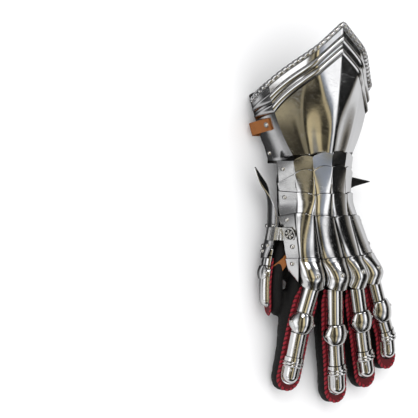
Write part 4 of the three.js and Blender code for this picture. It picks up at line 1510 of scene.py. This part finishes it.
# ---------------------------------------------------------------- glove
@dataclass
class Glove:
    """The black leather glove as one hollow skin, with its palm strap and cuff corner."""

    bench: Bench
    shell: HandShell
    fingers: Sequence[Finger]
    thumb: Thumb
    top: float = 2.9
    root_height: float = 11.6
    tip_height: float = 9.5
    wall: float = 1.6
    mouth_y: float = 96.0
    voxel: float = 1.9

    def ring(self, y: float, share: float, grow: float) -> Vector:
        """Returns a point of the hand's section.

        Args:
            y: the section's height.
            share: share of the way round, from the thumb side over the back.
            grow: how far out of the glove's face.

        Returns:
            The point.
        """
        inset = 4.6 + 4.2 * smooth((y - 30) / 20) - grow
        floor = lerp(12, 9, clamp((40 - y) / 90)) - grow
        row = at_height(self.shell.keys, self.shell.folds, y)

        def over(s: float) -> tuple[float, float]:
            """Returns the section's point over the back of the hand."""
            i = int(clamp(math.floor(s), 0, 5))
            t = s - i
            nx, nz = self.shell.way(s, min(y, 55))
            side = 3.2 * smooth((-14 - y) / 20) * clamp(1 - s)
            x, z = lerp(row[2 * i], row[2 * i + 2], t), lerp(row[2 * i + 1], row[2 * i + 3], t)
            return x - nx * inset + side, z - nz * inset

        first, last = over(0.0), over(6.0)
        cx, half = (first[0] + last[0]) / 2, (last[0] - first[0]) / 2
        if share <= 0.5:
            x, z = over(share * 12)
        else:
            th = (share - 0.5) * 2 * math.pi
            c, s = math.cos(th), max(0.0, math.sin(th))
            base = lerp(first[1], last[1], (1 + c) / 2)
            x, z = cx + half * math.copysign(abs(c) ** 0.62, c), base - (base - floor) * s**0.62
        flare = 1 + 0.003 * max(0.0, y - 60)
        return Vector((cx + (x - cx) * flare, y, z))

    def digit(
        self, name: str, frame: Callable[[float], Frame], y0: float, y1: float, half: Callable[[float], float],
        high: Callable[[float], float], drop: Callable[[float], float],
        aside: Callable[[float], float] = lambda y: 0.0
    ) -> bpy.types.Object:
        """Models one finger of the glove as a closed form.

        Args:
            name: its name.
            frame: the frame at a height.
            y0: its root, inside the hand.
            y1: its tip.
            half: half width at a height.
            high: half height at a height.
            drop: how far its middle lies under the frame's centre.
            aside: how far its middle lies to the outer side.

        Returns:
            The closed form.
        """
        round_off = 13.0

        def place(u: float, v: float) -> Vector:
            """Returns the form's point."""
            y = lerp(y0, y1, 1 - (1 - v) ** 1.25) if v < 1 else y1
            q = clamp((y1 + round_off - y) / round_off, 0, 0.9995)
            k = math.sqrt(1 - q * q) * 0.92 + 0.08 * (1 - q)
            a = 2 * math.pi * u
            c, s = math.cos(a), math.sin(a)
            f = frame(y)
            return f.at(
                aside(y) + half(y) * k * math.copysign(abs(c) ** 0.84, c),
                -drop(y) + high(y) * k * math.copysign(abs(s) ** 0.84, s)
            )

        return self.bench.tube(name, 28, 60, place)

    def build(self) -> None:
        """Models the glove's skin, its straps and its corner."""
        forms = [
            self.bench.tube("glove_hand_form", 64, 70, lambda u, v: self.ring(lerp(self.mouth_y + 6, -70, v), u, 0.0))
        ]
        for finger in self.fingers:
            wide = 12.4 if finger.name == "little" else 13.4
            lean = math.radians(finger.tilt / 2)
            up = Vector((math.sin(lean), 0, math.cos(lean)))
            span = finger.root - finger.toe - 25

            def high(y: float, f: Finger = finger, s: float = span) -> float:
                """Returns the finger's half height."""
                return lerp(self.root_height, self.tip_height, smooth((f.root - y) / s))

            def half(y: float, f: Finger = finger, w: float = wide) -> float:
                """Returns the finger's half width, swollen a little between the joints."""
                return lerp(11.8, w + 0.9, smooth((f.root - y) / 45))

            def aside(y: float, f: Finger = finger) -> float:
                """Returns how far the finger's leather sags sideways: the index's towards the thumb."""
                return lerp(-6.5, 1.0, smooth((f.root - y) / 80)) if f.name == "index" else 1.3

            forms.append(
                self.digit(
                    f"{finger.name}_glove_form", lambda y, f=finger, u=up: f.line.frame(y, u), finger.root + 16,
                    finger.toe, half, high, lambda y, h=high: self.top + h(y), aside
                )
            )
        thumb = self.thumb
        forms.append(
            self.digit(
                "thumb_glove_form", thumb.glove_frame, 4, -102, lambda y: lerp(9.8, 10.1, smooth(-y / 90)),
                lambda y: 7.4, lambda y: 0.0
            )
        )
        web = CentreLine(((-10, 4, 24), (-16, -25, 21), (-20, -50, 18.5), (-17, -68, 18)))
        forms.append(
            self.digit(
                "web_form", lambda y: web.frame(y, Vector((-0.4, 0, 0.9))), 4, -67, lambda y: 12.5, lambda y: 7.5,
                lambda y: 0.0
            )
        )
        skin = self.bench.join(forms, "glove_skin")
        self.bench.modify(skin, "REMESH", mode="VOXEL", voxel_size=self.voxel * MM)
        self.bench.modify(skin, "SMOOTH", factor=0.5, iterations=6)
        self.crumple(skin)
        self.bench.pick(skin)
        bpy.ops.object.mode_set(mode="EDIT")
        bpy.ops.mesh.select_all(action="SELECT")
        bpy.ops.mesh.bisect(plane_co=(0, (self.mouth_y + SHIFT.y) * MM, 0), plane_no=(0, 1, 0), clear_outer=True)
        bpy.ops.object.mode_set(mode="OBJECT")
        self.bench.modify(skin, "SOLIDIFY", thickness=self.wall * MM, offset=-1.0, use_even_offset=False)
        nodes = ["glove_hand", "glove_thumb"] + [f"glove_{finger.name}" for finger in self.fingers]
        self.bench.dress(skin, Slot.BLACK, (self.bench.finish.black,), nodes, 60)
        self.palm_strap()
        self.tab()
        self.corner()

    @staticmethod
    def crumple(skin: bpy.types.Object) -> None:
        """Presses shallow folds into the leather, inwards only, so that it keeps clear of the plates."""
        for vertex in skin.data.vertices:
            p = vertex.co / MM - SHIFT
            fold = math.sin(p.y * 0.55 + 1.6 * math.sin(p.x * 0.09) + 0.7 * math.sin(p.z * 0.21))
            soft = math.sin(p.y * 0.21 + p.x * 0.13 + 1.0)
            under = smooth((30 - p.z) / 20)
            depth = (0.28 * max(0.0, fold) ** 2 + 0.25 * max(0.0, soft)) * under
            vertex.co -= vertex.normal * depth * MM

    def palm_strap(self) -> None:
        """Models the tan strap from the thumb side of the hand plate around the palm."""
        strap = 1.8

        def place(u: float, v: float) -> Vector:
            """Returns the strap's outer point."""
            y = -39 - 14 * v - 12 * smooth((1 - u) / 0.24) * smooth(u / 0.24)
            point = self.ring(max(y, -69.0), lerp(11 / 24, 1 + 1 / 24, u) % 1.0, 1.2 + strap)
            return Vector((point.x, y, point.z))

        def away(c: Vector) -> Vector:
            """Returns the way out from the middle of the palm."""
            return c - Vector((30, c.y, 26))

        obj = self.bench.sheet("palm_strap_form", 100, 16, place, away)
        self.bench.wall(obj, strap, 0.4)
        self.bench.dress(obj, Slot.TAN, (self.bench.finish.tan, self.bench.finish.tan), ("palm_strap",), 40)

    def tab(self) -> None:
        """Models the short tan tab from under the hand plate to the thumb."""
        upper = [
            Vector(p)
            for p in ((-17, -31, 33), (-25, -37, 32), (-33, -44, 32.5), (-39.5, -50, 28), (-42, -54, 22))
        ]
        lower = [
            Vector(p)
            for p in ((-16, -42, 32), (-24, -46.5, 31.5), (-29.5, -54, 32), (-34, -62.5, 27), (-38, -66, 21))
        ]

        def place(u: float, v: float) -> Vector:
            """Returns the tab's outer point."""
            i = min(3, int(u * 4))
            k = u * 4 - i
            return upper[i].lerp(upper[i + 1], k).lerp(lower[i].lerp(lower[i + 1], k), v)

        obj = self.bench.sheet("thumb_tab", 40, 12, place, Vector((-0.5, 0, 0.8)))
        self.bench.modify(obj, "SMOOTH", factor=0.5, iterations=8)
        self.bench.wall(obj, 1.6, 0.3)
        self.bench.dress(obj, Slot.TAN, (self.bench.finish.tan, self.bench.finish.tan), (), 40)

    def corner(self) -> None:
        """Models the corner of the glove's cuff that stands out beside the wrist."""
        rows = (
            ((42, 42, 24), (44, 41, 27)), ((44, 37, 22), (58, 34.5, 25)), ((44, 32, 20), (77, 32, 24)),
            ((44, 27, 19), (60, 27.5, 22)), ((43, 20, 18), (46, 21, 20))
        )

        def place(u: float, v: float) -> Vector:
            """Returns the corner's point."""
            s = v * 4
            i = min(3, int(s))
            a = Vector(rows[i][0]).lerp(Vector(rows[i + 1][0]), s - i)
            b = Vector(rows[i][1]).lerp(Vector(rows[i + 1][1]), s - i)
            return a.lerp(b, u) + Vector((0, 0, 0.8 * math.sin(3.0 * u + v)))

        obj = self.bench.sheet("glove_corner_form", 12, 24, place, Vector((0, 0, 1)))
        self.bench.wall(obj, 1.5, 0.3)
        self.bench.dress(
            obj, Slot.BLACK, (self.bench.finish.black, self.bench.finish.black), ("glove_cuff_corner",), 40
        )


# ---------------------------------------------------------------- studio
@dataclass
class Studio:
    """The floor, the lights, the camera, and the painted surroundings that only the steel's mirroring sees.

    The camera and diffuse light see a plain pale floor and an even room. Glossy rays see coloured bands and grey
    stripes instead, so what the polished plates mirror is painted here and isn't part of the object.
    """

    distance: float = 4.0
    sensor: float = 36.0
    frame_px: float = 418.0
    roll: float = math.radians(33)
    target: Vector = field(default_factory=lambda: Vector((0, 0, 0.04)))
    right_px: float = 125.9
    down_px: float = 4.8

    def build(self) -> None:
        """Sets up everything around the gauntlet."""
        self.floor()
        self.world()
        self.lights()
        self.camera()
        settings = bpy.context.scene.view_settings
        settings.view_transform = "Standard"
        settings.look = "None"

    @staticmethod
    def floor() -> None:
        """Lays the floor: plain and pale to the eye, but striped in greys across x for glossy rays."""
        Bench.clear()
        bpy.ops.mesh.primitive_plane_add(size=12.0)
        floor = bpy.context.active_object
        floor.name = "studio_floor"
        floor.data.transform(Matrix.Translation((0, 0, -0.0002)))
        material = bpy.data.materials.new("pale_floor")
        material.use_nodes = True
        t = Tree(material.node_tree)
        parts = t.node("SeparateXYZ", {"Vector": t.node("TexCoord").outputs["Object"]})
        slide = t.node("MapRange", {"Value": parts.outputs[0], "From Min": -1.0, "From Max": 1.0})
        grey = [
            (0.0, 0.4), (0.28, 0.15), (0.38, 0.11), (0.42, 0.07), (0.441, 0.03), (0.449, 0.55), (0.453, 0.5),
            (0.457, 0.05), (0.466, 0.03), (0.472, 0.4), (0.48, 0.12), (0.5, 0.3), (0.56, 0.5), (0.7, 0.6),
            (1.0, 0.55)
        ]
        side = t.ramp(slide.outputs[0], [(place, (level,) * 3) for place, level in grey])
        far = t.node("MapRange", {"Value": parts.outputs[1], "From Min": -0.12, "From Max": -0.05})
        mirrored = t.mix(far.outputs[0], (0.6, 0.6, 0.59), side)
        seen = t.mix(t.node("LightPath").outputs["Is Glossy Ray"], (0.93, 0.93, 0.93), mirrored)
        shader = material.node_tree.nodes["Principled BSDF"]
        t.tree.links.new(seen, shader.inputs["Base Color"])
        shader.inputs["Roughness"].default_value = 0.9
        shader.inputs["Specular IOR Level"].default_value = 0.1
        floor.data.materials.append(material)

    @staticmethod
    def world() -> None:
        """Lights the room evenly for diffuse light, and rings it with bright, dark and gold bands for glossy rays."""
        world = bpy.data.worlds.new("studio")
        bpy.context.scene.world = world
        world.use_nodes = True
        world.node_tree.nodes.clear()
        t = Tree(world.node_tree)
        way = t.node("TexCoord").outputs["Generated"]
        parts = t.node("SeparateXYZ", {"Vector": way})
        bend = t.node("TexNoise", {"Vector": way, "Scale": 1.3, "Detail": 1.0})
        turn = t.maths("ARCTAN2", parts.outputs[0], parts.outputs[2])
        turn = t.maths("MULTIPLY_ADD", turn, 1 / (2 * math.pi), 0.5)
        sway = t.maths("MULTIPLY_ADD", bend.outputs["Fac"], 0.05, -0.025)
        bands = (
            (-180, (0.45, 0.45, 0.45)),
            (-105, (0.22, 0.22, 0.22)),
            (-92, (0.25, 0.25, 0.25)),
            (-84, (1.3, 1.3, 1.3)),
            (-62, (1.3, 1.3, 1.3)),
            (-57, (0.13, 0.12, 0.10)),
            (-50, (0.11, 0.095, 0.065)),
            (-46, (0.38, 0.33, 0.21)),
            (-41, (0.36, 0.31, 0.20)),
            (-37, (0.055, 0.047, 0.033)),
            (-26, (0.045, 0.04, 0.028)),
            (-22, (0.14, 0.12, 0.08)),
            (-18, (0.80, 0.66, 0.38)),
            (-9, (0.80, 0.67, 0.40)),
            (-4, (0.20, 0.20, 0.18)),
            (3, (0.28, 0.31, 0.36)),
            (14, (0.36, 0.38, 0.43)),
            (19, (1.3, 1.3, 1.3)),
            (33, (1.3, 1.3, 1.3)),
            (39, (0.10, 0.10, 0.10)),
            (45, (0.012, 0.012, 0.012)),
            (68, (0.012, 0.012, 0.012)),
            (78, (0.22, 0.20, 0.17)),
            (98, (0.55, 0.55, 0.55)),
            (180, (0.45, 0.45, 0.45)),
        )
        colour = t.ramp(t.maths("ADD", turn, sway), [((angle + 180) / 360, shade) for angle, shade in bands])
        ends = (
            (0.0, 0.05), (0.05, 0.08), (0.12, 0.9), (0.17, 0.95), (0.25, 0.55), (0.29, 0.6), (0.36, 1.0),
            (0.62, 1.0), (0.74, 0.3), (1.0, 0.08)
        )
        rise = t.maths("MULTIPLY_ADD", parts.outputs[1], 0.5, 0.5)
        dimmed = t.ramp(rise, [(place, (level,) * 3) for place, level in ends])
        colour = t.node("VectorMath", {0: colour, 1: dimmed}, operation="MULTIPLY").outputs[0]
        seen = t.mix(t.node("LightPath").outputs["Is Glossy Ray"], (1.2, 1.2, 1.21), colour)
        background = t.node("Background", {"Color": seen, "Strength": 1.0})
        t.node("OutputWorld", {"Surface": background.outputs[0]})
        world.cycles.sampling_method = "NONE"

    @staticmethod
    def lights() -> None:
        """Hangs the soft boxes."""
        boxes = (
            ("key_box", (-0.55, 1.0, 1.5), (0.8, 0.5), 5.0),
            ("fill_box", (0.9, 1.2, 1.3), (0.4, 0.4), 2.0),
        )
        for name, place, size, power in boxes:
            Bench.clear()
            bpy.ops.object.light_add(type="AREA", location=place)
            light = bpy.context.active_object
            light.name = name
            light.data.shape = "RECTANGLE"
            light.data.size, light.data.size_y = size
            light.data.energy = power
            light.rotation_euler = (Vector((0, 0, 0.03)) - Vector(place)).to_track_quat("-Z", "Y").to_euler()

    def camera(self) -> None:
        """Stands the camera where it sees the gauntlet rolled towards its thumb side."""
        toward = Vector((-math.sin(self.roll), 0, math.cos(self.roll)))
        right, up = Vector((math.cos(self.roll), 0, math.sin(self.roll))), Vector((0, 1, 0))
        focal_px = self.distance * 1000
        turn = math.atan(self.right_px / focal_px)
        aim = (-toward * math.cos(turn) - right * math.sin(turn) + up * (self.down_px / focal_px)).normalized()
        Bench.clear()
        bpy.ops.object.camera_add(location=self.target + toward * self.distance)
        camera = bpy.context.active_object
        side = aim.cross(up).normalized()
        above = side.cross(aim)
        camera.rotation_euler = Matrix((side, above, -aim)).transposed().to_euler()
        camera.data.sensor_width = self.sensor
        camera.data.lens = self.sensor * focal_px / self.frame_px
        camera.data.clip_end = 50
        bpy.context.scene.camera = camera


# ---------------------------------------------------------------- main
def main() -> None:
    """Builds the gauntlet around the loaded frame."""
    logging.basicConfig(level=logging.INFO, format="%(name)s: %(message)s")
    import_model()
    bench = Bench(Finishes())
    Studio().build()
    hand = HandPlates()
    Cuff().build(bench, hand.plates["wrist_lame_1"])
    hand.build(bench)
    fingers = [
        Finger(
            "index", bench,
            ((-4.5, -71, 41), (-13.8, -108.5, 36), (-18, -147.5, 27.5), (-20.3, -170.5, 22.6), (-21, -178, 21.9)),
            -6
        ),
        Finger(
            "middle", bench,
            ((19.6, -71, 44), (24.8, -119.5, 37), (33.3, -155.5, 27.5), (38, -182.5, 22.4), (39.3, -191, 21.9)), 0
        ),
        Finger(
            "ring", bench,
            ((46.5, -70, 41), (56, -106.5, 35.5), (67, -141.5, 26.5), (74, -166.5, 22.2), (76.3, -176, 21.9)), 4
        ),
        Finger(
            "little", bench,
            ((71.2, -65, 34.5), (83, -96.5, 31), (95, -122.5, 25), (99.5, -147.5, 22.1), (101, -158, 21.9)), 8,
            0.92
        ),
    ]
    for finger in fingers:
        finger.build()
    thumb = Thumb("thumb", bench)
    thumb.build()
    Glove(bench, hand.shell, fingers, thumb).build()
    log.info("%d pieces", bench.made)


if __name__ == "__main__":
    main()
